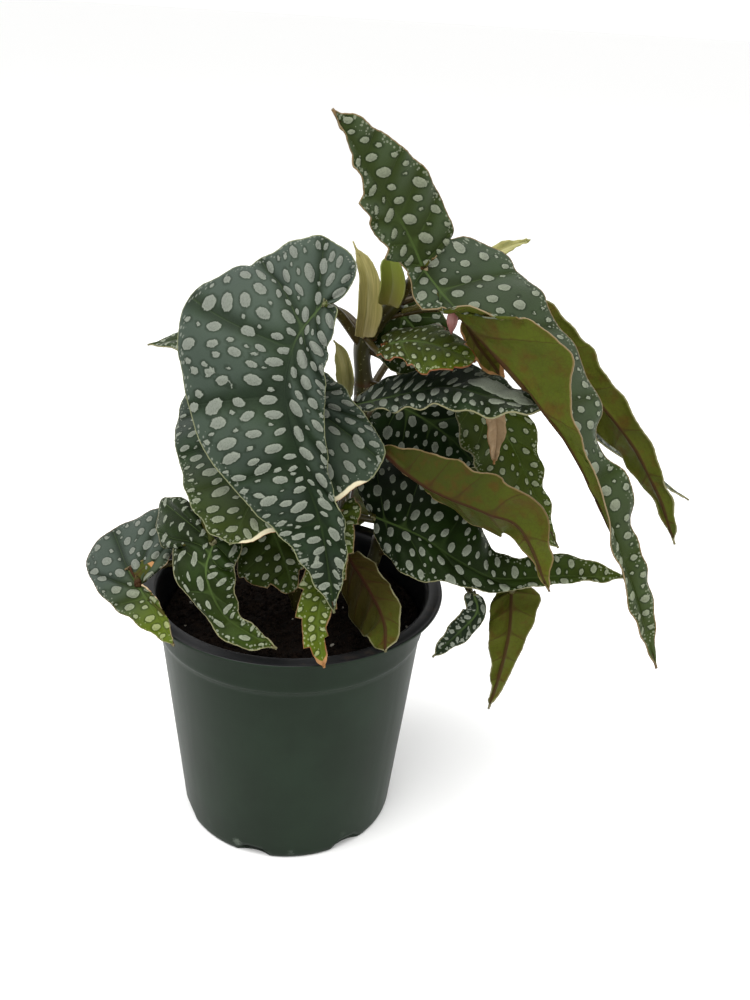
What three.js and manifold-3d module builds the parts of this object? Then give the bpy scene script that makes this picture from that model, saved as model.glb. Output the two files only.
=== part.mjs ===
// Potted polka dot begonia: a nursery pot of soil, three canes, and leaves with unequal
// lobes, waved edges and their own stalks. Millimetres, +Z up, origin on the floor at the
// pot's axis. The front of the plant faces -Y.
import * as THREE from 'three';
import { mergeVertices } from 'three/addons/utils/BufferGeometryUtils.js';
import Module from 'manifold-3d';

const wasm = await Module();
wasm.setup();

// Driving dimensions
const POT_HEIGHT = 98;
const LIP_RADIUS = 57;
const LIP_HEIGHT = 16;
const LIP_FLARE = 7.2;
const BASE_RADIUS = POT_HEIGHT * 0.4275;
const WALL = 1;
const NOTCHES = 7;
const FIRST_NOTCH = -103;
const NOTCH_RADIUS = 14;
const NOTCH_REACH = 11;
const NOTCH_SQUASH = 0.5;
const SOIL_DEPTH = 11;
const SOIL_SWELL = 1.4;
const GAP = 0.3;
const BLADE = 0.7;
const SHEATH = 0.65;
const RIB = 0.8;
const VEIN_SLANT = 0.6;
const CANE_TAPER = 0.14;
const NODE_SWELL = 0.5;
const NODE_LENGTH = 0.025;
const BUD_LENGTH = 9;
const BUD_RADIUS = 1.9;

const STEP_HEIGHT = POT_HEIGHT - LIP_HEIGHT;
const STEP_RADIUS = LIP_RADIUS - LIP_FLARE;
const SOIL_TOP = POT_HEIGHT - SOIL_DEPTH;

const COLOURS = {
  pot: 0x2c3a30, soil: 0x3a2c22, cane: 0x6f7a45, leaf: 0x3c5a44, young: 0xa8a24a,
  brown: 0xb07a48, sheath: 0xc3cc96, bud: 0xd9a8a0,
};

const plant = new THREE.Group();

function add(name, geometry, colour, roughness = 0.5) {
  const material = new THREE.MeshStandardMaterial({ color: colour, roughness, metalness: 0 });
  const mesh = new THREE.Mesh(geometry, material);
  mesh.name = name;
  plant.add(mesh);
}

// Solids: joining and cutting closed meshes
function solidOf(geometry) {
  const bare = new THREE.BufferGeometry();
  bare.setAttribute('position', geometry.getAttribute('position').clone());
  if (geometry.index) bare.setIndex(geometry.index.clone());
  const merged = mergeVertices(bare, 1e-4);
  const index = [];
  for (let i = 0; i < merged.index.count; i += 3) {
    const [a, b, c] = [0, 1, 2].map((k) => merged.index.getX(i + k));
    if (a !== b && b !== c && c !== a) index.push(a, b, c);
  }
  return new wasm.Manifold(new wasm.Mesh({
    numProp: 3,
    vertProperties: new Float32Array(merged.getAttribute('position').array),
    triVerts: new Uint32Array(index),
  }));
}

function geometryOf(solid) {
  const mesh = solid.getMesh();
  const geometry = new THREE.BufferGeometry();
  geometry.setAttribute('position', new THREE.BufferAttribute(new Float32Array(mesh.vertProperties), 3));
  geometry.setIndex(new THREE.BufferAttribute(new Uint32Array(mesh.triVerts), 1));
  return geometry;
}

// The largest closed surface, without the crumbs and pockets that a join can leave
function mainBody(solid) {
  return solid.decompose().sort((a, b) => b.volume() - a.volume())[0];
}

function meshFrom(points, triangles) {
  const geometry = new THREE.BufferGeometry();
  geometry.setAttribute('position', new THREE.Float32BufferAttribute(points.flatMap((p) => p.toArray()), 3));
  geometry.setIndex(triangles.flat());
  return geometry;
}

const vector = (values) => new THREE.Vector3(...values);
const smoothCurve = (points) => {
  const curve = new THREE.CatmullRomCurve3(points, false, 'catmullrom', 0.5);
  curve.arcLengthDivisions = 400;
  return curve;
};

// A round stem whose radius follows radiusAt(0..1), closed at both ends
function stem(curve, radiusAt, sides, steps) {
  const frames = curve.computeFrenetFrames(steps, false);
  const points = [];
  const triangles = [];
  for (let i = 0; i <= steps; i += 1) {
    const centre = curve.getPointAt(i / steps);
    for (let k = 0; k < sides; k += 1) {
      const angle = (2 * Math.PI * k) / sides;
      points.push(centre.clone()
        .addScaledVector(frames.normals[i], radiusAt(i / steps) * Math.cos(angle))
        .addScaledVector(frames.binormals[i], radiusAt(i / steps) * Math.sin(angle)));
    }
  }
  for (let i = 0; i < steps; i += 1) {
    for (let k = 0; k < sides; k += 1) {
      const a = i * sides + k;
      const b = i * sides + ((k + 1) % sides);
      triangles.push([a, b, b + sides], [a, b + sides, a + sides]);
    }
  }
  const last = steps * sides;
  for (let k = 1; k < sides - 1; k += 1) {
    triangles.push([0, k + 1, k], [last, last + k, last + k + 1]);
  }
  return meshFrom(points, triangles);
}

// Values spaced evenly from the joint (0) to the tip (1)
function ramp(values, t) {
  if (values.length === 1) return values[0];
  const x = Math.min(Math.max(t, 0), 1) * (values.length - 1);
  const i = Math.min(Math.floor(x), values.length - 2);
  const mix = x - i;
  return Array.isArray(values[i])
    ? values[i].map((v, k) => v * (1 - mix) + values[i + 1][k] * mix)
    : values[i] * (1 - mix) + values[i + 1] * mix;
}

const degrees = (angle) => (angle * Math.PI) / 180;
const ease = (x) => {
  const t = Math.min(Math.max(x, 0), 1);
  return t * t * (3 - 2 * t);
};

// The line of a blade: its midrib from joint to tip, and behind the joint the line that the
// basal lobes follow. `face` is the way the upper surface looks.
function midribOf({ spine, heel, face }) {
  const points = spine.map(vector);
  const back = heel ? vector(heel) : points[0].clone().multiplyScalar(2).sub(points[1]);
  const curve = smoothCurve([back, ...points]);
  const divisions = 80 * points.length;
  curve.arcLengthDivisions = divisions;
  const lengths = curve.getLengths(divisions);
  const behind = lengths[80];
  const whole = lengths[divisions];
  const length = whole - behind;
  const at = (s) => curve.getPointAt(Math.min(Math.max(s / whole, 0), 1));
  const frame = (a) => {
    const s = a + behind;
    const inner = Math.min(Math.max(s, 1), whole - 1);
    const along = at(inner + 1).sub(at(inner - 1)).normalize();
    const origin = at(s).addScaledVector(along, Math.min(s, 0) + Math.max(s - whole, 0));
    const up = vector(ramp(face.map((f) => vector(f).normalize().toArray()), a / length)).normalize();
    up.addScaledVector(along, -up.dot(along)).normalize();
    return { origin, along, up, across: up.clone().cross(along) };
  };
  return { length, frame };
}

// A blade's closed surface. left and right are its margins as [along, out] in mm from the
// joint, fold and curl bend each half up, and wave = [count, height, phase] ripples the edge.
function blade(shape) {
  const { rows, columns, thickness = BLADE, rib = RIB } = shape;
  const { length, frame } = midribOf(shape);
  const margins = [shape.left, shape.right].map((points) => smoothCurve(
    [[0, 0], ...points, [length, 0]].map(([a, b]) => new THREE.Vector3(a, b, 0)),
  ).getSpacedPoints(rows));
  const stations = margins[0].map((left, i) => 0.5 * [left, margins[1][i]].reduce(
    (sum, m) => sum + Math.min(Math.max(m.x - VEIN_SLANT * m.y, 0), length), 0,
  ));
  stations[0] = 0;
  stations[rows] = length;
  for (let i = 1; i <= rows; i += 1) stations[i] = Math.max(stations[i], stations[i - 1]);

  const points = [];
  const place = (side, a, b, lift) => {
    const { origin, up, across } = frame(a);
    const k = side < 0 ? 0 : 1;
    const t = a / length;
    const fold = degrees(ramp(shape.fold[k], t));
    const bend = degrees(ramp(shape.curl[k], t)) / shape.width[k] || 1e-5;
    const angle = fold + bend * b;
    const out = (Math.sin(angle) - Math.sin(fold)) / bend;
    const rise = (Math.cos(fold) - Math.cos(angle)) / bend;
    points.push(origin.addScaledVector(across, side * out).addScaledVector(up, rise + lift));
    return points.length - 1;
  };
  const middle = [];
  for (let i = 0; i <= rows; i += 1) {
    const same = i > 0 && stations[i] - stations[i - 1] < 1e-6;
    middle.push(same ? middle[i - 1] : place(-1, stations[i], 0, 0));
  }
  const grids = [-1, 1].map((side) => {
    const k = side < 0 ? 0 : 1;
    const [waves, height, phase] = shape.wave[k];
    const [teeth, depth] = shape.teeth ? shape.teeth[k] : [0, 0];
    return margins[k].map((margin, i) => {
      if (i === 0) return Array(columns + 1).fill(middle[0]);
      if (i === rows) return Array(columns + 1).fill(middle[rows]);
      const u = i / rows;
      const next = margins[k][i + 1].clone().sub(margins[k][i - 1]).normalize();
      const bite = ((u * teeth) % 1) * depth * ease(u / 0.15) * ease((1 - u) / 0.05);
      const edge = new THREE.Vector2(margin.x - next.y * bite, margin.y + next.x * bite);
      const ripple = height * Math.sin(2 * Math.PI * (waves * u + phase));
      const swell = ripple * ease(u / 0.2) * ease((1 - u) / 0.12);
      return Array.from({ length: columns + 1 }, (_, j) => {
        if (j === 0) return middle[i];
        const v = j / columns;
        return place(side, stations[i] * (1 - v) + edge.x * v, edge.y * v, swell * v * v);
      });
    });
  });

  const faces = [];
  const push = (a, b, c) => {
    if (a !== b && b !== c && c !== a) faces.push([a, b, c]);
  };
  for (let i = 0; i < rows; i += 1) {
    for (let j = 0; j < columns; j += 1) {
      const [l, r] = grids;
      push(r[i][j], r[i + 1][j], r[i + 1][j + 1]);
      push(r[i][j], r[i + 1][j + 1], r[i][j + 1]);
      push(l[i][j], l[i + 1][j + 1], l[i + 1][j]);
      push(l[i][j], l[i][j + 1], l[i + 1][j + 1]);
    }
  }
  const normals = points.map(() => new THREE.Vector3());
  for (const [a, b, c] of faces) {
    const normal = points[b].clone().sub(points[a]).cross(points[c].clone().sub(points[a]));
    for (const corner of [a, b, c]) normals[corner].add(normal);
  }
  const count = points.length;
  const ridge = new Set(middle);
  const top = points.map((p, i) => p.clone().addScaledVector(normals[i].normalize(), thickness / 2));
  const bottom = points.map((p, i) => p.clone()
    .addScaledVector(normals[i], -thickness / 2 - (ridge.has(i) && i !== middle[rows] ? rib : 0)));
  const shell = faces.flatMap(([a, b, c]) => [[a, b, c], [a + count, c + count, b + count]]);
  for (const [k, grid] of grids.entries()) {
    for (let i = 0; i < rows; i += 1) {
      const [a, b] = k === 1
        ? [grid[i][columns], grid[i + 1][columns]]
        : [grid[i + 1][columns], grid[i][columns]];
      shell.push([a, b, b + count], [a, b + count, a + count]);
    }
  }
  return meshFrom([...top, ...bottom], shell);
}

// A leaf stalk leaves the cane, rises, and meets the blade's underside at the joint
function stalk(shape) {
  const { from, via, thick = 1.5 } = shape.stalk;
  const { origin, along, up } = midribOf(shape).frame(0);
  const start = vector(from);
  const end = origin.addScaledVector(up, -0.5);
  const reach = start.distanceTo(end);
  const rise = via ? vector(via) : start.clone().add(new THREE.Vector3(0, 0, 0.3 * reach));
  const arrive = end.clone().addScaledVector(up, -0.21 * reach).addScaledVector(along, -0.17 * reach);
  const curve = new THREE.CubicBezierCurve3(start, rise, arrive, end);
  return stem(curve, (t) => thick * (1 - 0.2 * t), 6, Math.max(5, Math.round(reach / 7)));
}

// Canes: the tall one, a low one on the left and one on the right
const canes = {
  cane_tall: {
    points: [[13, 5, 58], [13, 5, 88], [16, 7, 122], [20, 6, 155], [23, 5, 174], [22, 3, 191], [27, 0, 201],
      [33, -3, 209]],
    radius: 3.3, nodes: [0.42, 0.62, 0.76, 0.88],
  },
  cane_left: {
    points: [[3, 0, 62], [2, 0, 88], [-3, -4, 105], [-9, -8, 123], [-13, -10, 133]],
    radius: 2.6, nodes: [0.6],
  },
  cane_right: {
    points: [[24, 5, 62], [25, 5, 88], [30, 8, 105], [35, 10, 124], [40, 12, 142], [44, 13, 154]],
    radius: 2.8, nodes: [0.55, 0.8],
  },
};

function caneSolid({ points, radius, nodes }, extra) {
  const swelling = (t) => nodes.reduce((sum, n) => sum + Math.exp(-(((t - n) / NODE_LENGTH) ** 2)), 0);
  const radiusAt = (t) => radius * (1 - CANE_TAPER * t) + NODE_SWELL * swelling(t) + extra;
  return solidOf(stem(smoothCurve(points.map(vector)), radiusAt, 8, 20));
}

for (const [name, cane] of Object.entries(canes)) add(name, geometryOf(caneSolid(cane, 0)), COLOURS.cane);
const caneClearance = Object.values(canes)
  .map((cane) => caneSolid(cane, GAP))
  .reduce((all, one) => all.add(one));

// Nursery pot: a thin tapered cup with a step line, a flared lip and notches in its bottom corner
function potSolid() {
  const corner = [[0, 0], [-1.6, 0], [-0.4, 0.6], [0, 2]];
  const outside = corner.map(([r, z], i) => [i ? BASE_RADIUS + r : 0, z]);
  const edge = [LIP_FLARE, LIP_HEIGHT - 0.8];
  const flare = [[0, 0], [0.7, 0.6], [0.9, 6], [1.4, 12], [2.4, 14.8], [4.4, 15.3], edge];
  const lip = flare.map(([r, z]) => [STEP_RADIUS + r, STEP_HEIGHT + z]);
  const inLip = flare.map(([r, z]) => [STEP_RADIUS + r - WALL * 0.9, STEP_HEIGHT + z + WALL * 0.7]).reverse();
  const floor = [[BASE_RADIUS - WALL, 2.4], [BASE_RADIUS - 2.4, WALL], [0, WALL]];
  const inside = [[STEP_RADIUS - WALL, STEP_HEIGHT], ...floor];
  const rim = [[LIP_RADIUS, POT_HEIGHT]];
  const profile = [...outside, ...lip, ...rim, ...inLip, ...inside].map(([r, z]) => new THREE.Vector2(r, z));
  const cup = new THREE.LatheGeometry(profile, 32);
  cup.rotateX(Math.PI / 2);
  let solid = solidOf(cup);
  for (let i = 0; i < NOTCHES; i += 1) {
    const angle = degrees(FIRST_NOTCH + (360 / NOTCHES) * i);
    const reach = BASE_RADIUS + NOTCH_REACH;
    const bite = new THREE.SphereGeometry(NOTCH_RADIUS, 16, 6);
    bite.scale(1, 1, NOTCH_SQUASH);
    bite.rotateZ(angle);
    bite.translate(reach * Math.cos(angle), reach * Math.sin(angle), 0);
    solid = solid.subtract(solidOf(bite));
  }
  return solid;
}

// Soil: fills the pot to just below the lip, with a gently uneven top and a hole for each cane
function soilSolid() {
  const sectors = 24;
  const rings = [0.4, 0.75, 1];
  const bottom = WALL + 2 * GAP;
  const slope = (STEP_RADIUS - BASE_RADIUS) / STEP_HEIGHT;
  const wallAt = (z) => BASE_RADIUS + slope * z - WALL - 2 * GAP;
  const points = [new THREE.Vector3(0, 0, SOIL_TOP)];
  for (const ring of rings) {
    for (let k = 0; k < sectors; k += 1) {
      const angle = (2 * Math.PI * k) / sectors;
      const swell = SOIL_SWELL * Math.sin(3 * angle + 5 * ring) * Math.cos(2 * angle - 3 * ring);
      const radius = ring * wallAt(STEP_HEIGHT);
      const height = SOIL_TOP + swell - ring;
      points.push(new THREE.Vector3(radius * Math.cos(angle), radius * Math.sin(angle), height));
    }
  }
  for (const [radius, z] of [[wallAt(STEP_HEIGHT), STEP_HEIGHT], [wallAt(0) - 2 * WALL, bottom]]) {
    for (let k = 0; k < sectors; k += 1) {
      const angle = (2 * Math.PI * k) / sectors;
      points.push(new THREE.Vector3(radius * Math.cos(angle), radius * Math.sin(angle), z));
    }
  }
  points.push(new THREE.Vector3(0, 0, bottom));
  const triangles = [];
  const circles = rings.length + 2;
  for (let k = 0; k < sectors; k += 1) {
    const next = (k + 1) % sectors;
    triangles.push([0, 1 + k, 1 + next]);
    for (let c = 0; c < circles - 1; c += 1) {
      const a = 1 + c * sectors;
      triangles.push([a + k, a + sectors + k, a + sectors + next], [a + k, a + sectors + next, a + next]);
    }
    const a = 1 + (circles - 1) * sectors;
    triangles.push([points.length - 1, a + next, a + k]);
  }
  return solidOf(meshFrom(points, triangles)).subtract(caneClearance);
}

add('pot', geometryOf(potSolid()), COLOURS.pot, 0.45);
add('soil', geometryOf(soilSolid()), COLOURS.soil, 0.95);

// Each leaf gives its midrib, the way its upper face looks, and its two margins. left is the
// half on the left when the tip points down and the upper face looks at the viewer.
const PLAIN = {
  fold: [[6], [6]], curl: [[-20], [-20]], width: [14, 14],
  wave: [[5, 0.8, 0], [5, 0.8, 0.5]], rows: 12, columns: 3,
};
const SMALL = { rows: 10, columns: 2, wave: [[3, 0.4, 0], [3, 0.4, 0.5]] };
const HALF_OVAL = [[-3, 6], [8, 12], [28, 13], [50, 9]];

const leaves = {
  leaf_front_big: {
    spine: [[9, -16, 210], [1, -24, 199], [-1, -34, 183], [6, -44, 164], [13, -48, 145], [18, -50, 116]],
    heel: [15, -10, 219],
    face: [[-0.1, -0.7, 0.7], [-0.15, -0.85, 0.55], [0.05, -0.9, 0.45], [0.1, -0.9, 0.35]],
    left: [[-2, -3], [-8, -4.5], [-16.5, -2.5], [-19.5, 4], [-20, 11], [-17, 17.5], [-4, 28], [8, 37],
      [15, 43.5], [23, 40], [34, 33], [58, 22.5], [82, 11], [97, 5]],
    right: [[-1, 4.5], [1, 6.5], [7, 9], [20, 12], [33, 13], [44, 11.5], [65, 7], [80, 7.5], [96, 4.5]],
    width: [38, 16], fold: [[8], [8]], curl: [[-30], [-45]],
    wave: [[5, 1, 0], [5, 1, 0]], rows: 17, columns: 4,
    stalk: { from: [22, 3, 191], via: [16, -2, 200], thick: 1.8 },
  },
  leaf_front_shelf: {
    spine: [[1, -8, 175], [-4, -19, 163], [-10, -31, 150], [-17, -43, 135]], heel: [5, -2, 183],
    face: [[-0.2, -0.5, 0.8], [-0.3, -0.6, 0.75]],
    left: [[-7, 7], [-6, 24], [1, 43], [17, 46], [42, 28], [54, 11]],
    right: [[-11, 3], [-7, 18], [5, 31], [14, 37], [32, 28], [45, 16], [53, 6]],
    width: [36, 34], fold: [[5], [5]], wave: [[5, 1, 0.3], [5, 1, 0]], rows: 17, columns: 4,
    stalk: { from: [-13, -10, 132], via: [-12, 2, 152] },
  },
  leaf_front_claw: {
    spine: [[-25, -30, 128], [-26, -38, 120], [-18, -46, 109], [0, -54, 103]], heel: [-26, -22, 133],
    face: [[-0.2, -0.6, 0.7], [-0.3, -0.75, 0.5]],
    left: [[-17, 7], [-25, 22], [-11, 23], [9, 12], [21, 6], [36, 6]],
    right: [[-5, 5], [1, 10], [17, 9], [31, 4], [42, 2]],
    width: [18, 12], fold: [[8], [8]], curl: [[-30], [-30]],
    stalk: { from: [-9, -8, 123], via: [-12, -15, 128] },
  },
  leaf_left_torn: {
    spine: [[-57, -22, 112], [-50, -31, 108], [-42, -41, 103], [-35, -50, 99]], heel: [-62, -12, 114],
    face: [[-0.25, -0.45, 0.8], [-0.3, -0.5, 0.75], [-0.5, -0.5, 0.6]],
    left: [[1, -7], [8, -12], [-4, -21], [-22, -22], [-24, -12], [-24, 0], [-20, 10], [-14, 14],
      [0, 13], [11, 11], [22, 7], [30, 4]],
    right: [[7, 1], [11, 2], [17, 3], [24, 3], [31, 2]],
    width: [22, 8], fold: [[0], [6]], curl: [[-15], [-30]],
    wave: [[6, 0.5, 0], [4, 0.3, 0]], rows: 19, columns: 3,
    stalk: { from: [-4, -4, 108], via: [-26, -8, 118] },
  },
  leaf_front_toothed: {
    spine: [[17, -28, 139], [15, -40, 126], [13, -51, 113], [16, -59, 100]], heel: [19, -24, 143],
    face: [[0, -0.8, 0.6], [0, -0.9, 0.4]],
    left: [[-2, 5], [10, 7], [24, 6.5], [36, 5], [43, 3], [48, 1]],
    right: [[-8, 1], [-7, 5], [6, 6], [24, 4.5], [33, 3.5], [39, 1.5], [47, 0.7]],
    width: [8, 8], fold: [[8], [8]], teeth: [[7, 2.4], [7, 1.8]], rows: 20, columns: 2,
    stalk: { from: [17, 6, 128], via: [18, -6, 142] },
  },
  leaf_front_shaded: {
    spine: [[-11, -14, 138], [-6, -22, 131], [-1, -27, 122], [3, -30, 111]],
    face: [[0, -0.6, 0.7]],
    left: [[-3, 6], [11, 13], [25, 15], [31, 6]], right: [[2, 6], [12, 9], [24, 7]],
    width: [16, 10], fold: [[5], [5]], teeth: [[6, 1.8], [5, 1]], rows: 16, columns: 2,
    stalk: { from: [-8, -7, 121], via: [-6, -10, 134] },
  },
  leaf_over_soil: {
    spine: [[21, -14, 118], [29, -26, 112], [35, -38, 106], [36, -46, 99]],
    face: [[0.2, 0.8, -0.1], [0.2, 0.8, -0.2]],
    left: [[3, 5], [17, 7], [28, 7], [36, 4]], right: [[2, 5], [7, 14], [19, 16], [36, 7]],
    width: [10, 14], fold: [[8], [12]], curl: [[15], [15]],
    stalk: { from: [15, 6, 108], via: [17, -3, 117] },
  },
  leaf_right_tailed: {
    spine: [[30, -8, 131], [46, -17, 129], [61, -22, 122], [75, -21, 116], [97, -20, 118], [120, -22, 120]],
    face: [[0.1, -0.75, 0.65], [0.1, -0.65, 0.75], [0.1, -0.6, 0.8]],
    left: [[5, 8], [22, 15], [35, 9], [51, 5], [70, 3], [86, 2]],
    right: [[-7, 3], [-16, 14], [-12, 27], [15, 27], [44, 13], [59, 8], [73, 9], [87, 5]],
    width: [14, 26], fold: [[6], [5]], curl: [[-25], [-25]], rows: 17, columns: 4,
    stalk: { from: [17, 7, 124], via: [22, 2, 127] },
  },
  leaf_right_drooping: {
    spine: [[30, -20, 163], [41, -30, 158], [51, -37, 155], [66, -43, 152], [77, -46, 148], [88, -48, 127]],
    face: [[0.2, 0.85, 0.35], [0.3, 0.8, 0.5]],
    left: [[4, 4], [22, 12], [38, 13], [51, 12], [60, 8], [72, 4]],
    right: [[5, 2], [20, 3], [34, 9], [48, 16], [62, 5], [72, 2]],
    width: [12, 18], fold: [[20], [10]], curl: [[10], [10]],
    wave: [[6, 0.8, 0], [6, 0.8, 0]], rows: 18, columns: 3,
    stalk: { from: [21, 6, 155], via: [22, -4, 160] },
  },
  leaf_crest: {
    spine: [[40, -20, 224], [48, -30, 217], [61, -43, 207], [76, -54, 193], [87, -59, 180], [100, -60, 160],
      [112, -59, 136], [124, -58, 107]],
    heel: [37, -18, 228],
    face: [[0.2, -0.5, 0.8], [0.5, 0, 0.85], [0.58, 0.25, 0.75], [0.6, 0.1, 0.7], [0.5, -0.6, 0.45],
      [0.4, -0.8, 0.2], [0.3, -0.8, 0.2]],
    left: [[-1, 5.5], [3.5, 6.5], [9, 8.5], [14, 8.5], [19.5, 7], [23, 10.5], [26.5, 12], [31, 13.5],
      [35, 12], [39, 17.5], [44, 18.5], [49, 20], [55, 18], [62, 11], [70, 7], [78, 4], [88, 6], [96, 4.5],
      [106, 5.5], [118, 3.5], [130, 4.5], [148, 2]],
    right: [[-3.5, 3.5], [-5, 8.5], [-4.5, 15.5], [-3, 21.5], [2.5, 30.5], [17, 30.5], [27, 30], [40, 29],
      [50, 28.5], [70, 24], [77, 15.5], [85, 12.5], [98, 13.5], [109, 7], [126, 6.5], [149, 2.5]],
    width: [24, 26],
    fold: [[0, -30, 30, 50, 52, 52, 50, 38, 25, 22, 20, 17, 15], [5, 40, 50, 45, 20, 10, 5]],
    curl: [[-10, 10, 10, 10, 0, 0, 0], [-10]], wave: [[8, 0.6, 0], [8, 0.8, 0]], rows: 26, columns: 3,
    stalk: { from: [32, -2, 208], via: [36, -7, 213], thick: 1.8 },
    wing: {
      spine: [[40, -20, 224], [34, -24, 236], [23, -33, 253], [11, -40, 271]], heel: [41, -19, 220],
      face: [[0.2, -0.9, 0.3], [0.3, -0.9, 0.3]],
      left: [[4, 11], [8, 14], [15, 14.5], [24, 15], [32, 13.5], [40, 11], [47, 8], [53, 5]],
      right: [[-4, 4.5], [2.5, 5], [6.5, 6.5], [10.5, 10], [14, 8], [18.5, 9], [25, 9], [27.5, 7.5],
        [33, 8.5], [33.5, 5], [37, 3.5], [42.5, 4], [45, 1.5], [51, 0.8]],
      width: [14, 14], fold: [[5], [5]], curl: [[-5], [-5]], rows: 15, columns: 3,
    },
  },
  leaf_right_rear: {
    spine: [[70, 8, 209], [85, 11, 197], [101, 9, 180], [119, 3, 162], [132, -3, 142], [139, -6, 126]],
    face: [[0.35, 0.85, 0.35], [0.4, 0.8, 0.3]],
    left: [[-3, 8], [10, 9], [32, 10], [64, 7], [83, 5], [102, 3]],
    right: [[2, 7], [14, 11], [38, 15], [58, 12], [76, 8], [96, 3]],
    fold: [[10], [10]], curl: [[10], [10]], wave: [[6, 1, 0], [6, 1, 0.3]], rows: 18,
    stalk: { from: [28, -1, 203], via: [42, 10, 222] },
  },
  leaf_centre_level: {
    spine: [[21, -10, 174], [36, -20, 182], [50, -30, 189], [63, -40, 190], [79, -52, 191]],
    face: [[0, -0.45, 0.9], [0.1, -0.45, 0.9]],
    left: [[1, 4], [9, 5], [28, 9], [56, 9], [69, 4]], right: [[-1, 5], [7, 11], [29, 15], [48, 11], [64, 6]],
    width: [12, 22], fold: [[4], [4]], curl: [[-15], [-15]], wave: [[6, 0.8, 0], [6, 0.8, 0]], rows: 18,
    stalk: { from: [22, 5, 172], via: [20, -2, 174] },
  },
  leaf_centre_shaded: {
    spine: [[35, 16, 166], [47, 13, 161], [58, 10, 154], [66, 8, 146]],
    face: [[0, -0.7, 0.6]],
    left: [[-6, 6], [-3, 15], [12, 18], [28, 12]], right: [[2, 8], [10, 14], [20, 15], [30, 10]],
    width: [20, 20],
    stalk: { from: [21, 6, 157], via: [24, 13, 164] },
  },
  leaf_right_green: {
    spine: [[62, 2, 174], [74, -2, 163], [83, -8, 149], [90, -12, 136], [95, -16, 127]],
    face: [[0.4, -0.5, 0.7], [0.5, -0.5, 0.5]],
    left: [[-2, 12], [9, 21], [37, 20], [54, 9]], right: [[4, 9], [16, 13], [33, 7], [50, 3]],
    fold: [[20], [20]], wave: [[6, 1, 0], [5, 1, 0.3]],
    stalk: { from: [22, 3, 191], via: [40, 6, 183] },
  },
  leaf_centre_rear: {
    spine: [[30, 8, 206], [38, 6, 199], [47, 2, 190], [56, -2, 180]],
    face: [[0, -0.8, 0.6]],
    left: [[-3, 7], [5, 14], [17, 16], [31, 9]], right: [[1, 7], [10, 12], [21, 10], [31, 6]],
    width: [16, 12],
    stalk: { from: [23, 4, 180], via: [24, 12, 192] },
  },
  leaf_hanging: {
    spine: [[82, -8, 104], [82, -14, 91], [80, -18, 76], [77, -20, 59]],
    face: [[0.1, 0.9, 0.2]],
    left: [[-3, 6], [3, 11], [14, 8], [27, 5], [38, 3]], right: [[-1, 5], [8, 8], [20, 7], [33, 3]],
    width: [11, 8], fold: [[10], [10]], curl: [[10], [10]], rows: 12, columns: 2,
    stalk: { from: [32, 9, 114], via: [56, 8, 122], thick: 1.3 },
  },
  leaf_back_left: {
    spine: [[-7, 26, 161], [-18, 40, 141], [-25, 52, 122], [-28, 62, 103]],
    face: [[-0.3, 0.7, 0.6], [-0.3, 0.9, 0.2]],
    left: [[0, 9], [20, 21], [48, 17], [66, 8]], right: [[-8, 9], [5, 17], [34, 18], [58, 9]],
    width: [20, 20],
    stalk: { from: [20, 6, 155], via: [11, 14, 167] },
  },
  leaf_back_right: {
    spine: [[58, 32, 153], [70, 42, 139], [80, 49, 121], [88, 54, 99]],
    face: [[0.3, 0.6, 0.7], [0.3, 0.9, 0.3]],
    left: [[-8, 8], [2, 17], [34, 16], [56, 8]], right: [[-4, 8], [12, 18], [40, 18], [60, 9]],
    width: [18, 18],
    stalk: { from: [41, 12, 146], via: [46, 18, 156] },
  },
  leaf_back_low: {
    spine: [[23, 30, 133], [21, 50, 121], [19, 64, 104], [18, 72, 84]],
    face: [[0, 0.5, 0.85], [0, 0.9, 0.4]],
    left: [[-8, 7], [9, 17], [38, 18], [58, 8]], right: [[-9, 7], [8, 15], [38, 17], [58, 8]],
    width: [18, 18],
    stalk: { from: [18, 7, 136], via: [20, 16, 142] },
  },
  leaf_back_upper: {
    ...SMALL,
    spine: [[40, 32, 190], [44, 46, 178], [47, 56, 161], [49, 62, 141]],
    face: [[0.2, 0.4, 0.9], [0.2, 0.9, 0.4]],
    left: [[-7, 7], [6, 15], [30, 14], [48, 6]], right: [[-6, 6], [6, 13], [30, 13], [46, 6]],
    stalk: { from: [23, 5, 168], via: [30, 26, 180] },
  },
  leaf_rear_left: {
    ...SMALL,
    spine: [[-2, 22, 201], [-21, 30, 191], [-40, 36, 182], [-61, 40, 175]],
    face: [[-0.1, -0.2, 0.95], [-0.3, -0.2, 0.9]],
    left: HALF_OVAL, right: HALF_OVAL,
    stalk: { from: [23, 2, 194], via: [12, 16, 206] },
  },
  leaf_rear_right: {
    ...SMALL,
    spine: [[72, 26, 188], [96, 24, 169], [120, 20, 151], [148, 16, 134]],
    face: [[0.3, 0.1, 0.9], [0.4, 0.1, 0.9]],
    left: [[-4, 7], [18, 13], [55, 11], [78, 4]], right: [[-4, 7], [18, 13], [55, 11], [78, 4]],
    stalk: { from: [43, 13, 151], via: [43, 34, 172] },
  },
  leaf_small_twisted: {
    ...SMALL,
    spine: [[67, -14, 106], [69, -16, 99], [63, -18, 91], [54, -20, 81]],
    face: [[0.3, -0.8, 0.4]],
    left: [[1, 4], [15, 5], [25, 3]], right: [[4, 3], [9, 4], [21, 4]],
    width: [6, 5], rib: 0.4, stalk: { from: [31, 8, 108], via: [50, 2, 118], thick: 1.2 },
  },
  leaf_young_olive: {
    ...SMALL, rows: 16,
    spine: [[30, -14, 197], [39, -22, 201], [49, -28, 201], [58, -34, 199]],
    face: [[0, -0.4, 0.9]],
    left: [[3, 7], [16, 10], [23, 12], [30, 8]], right: [[-6, 8], [5, 13], [24, 7]],
    width: [8, 8], fold: [[10], [10]], teeth: [[6, 1.4], [6, 1.4]],
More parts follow.
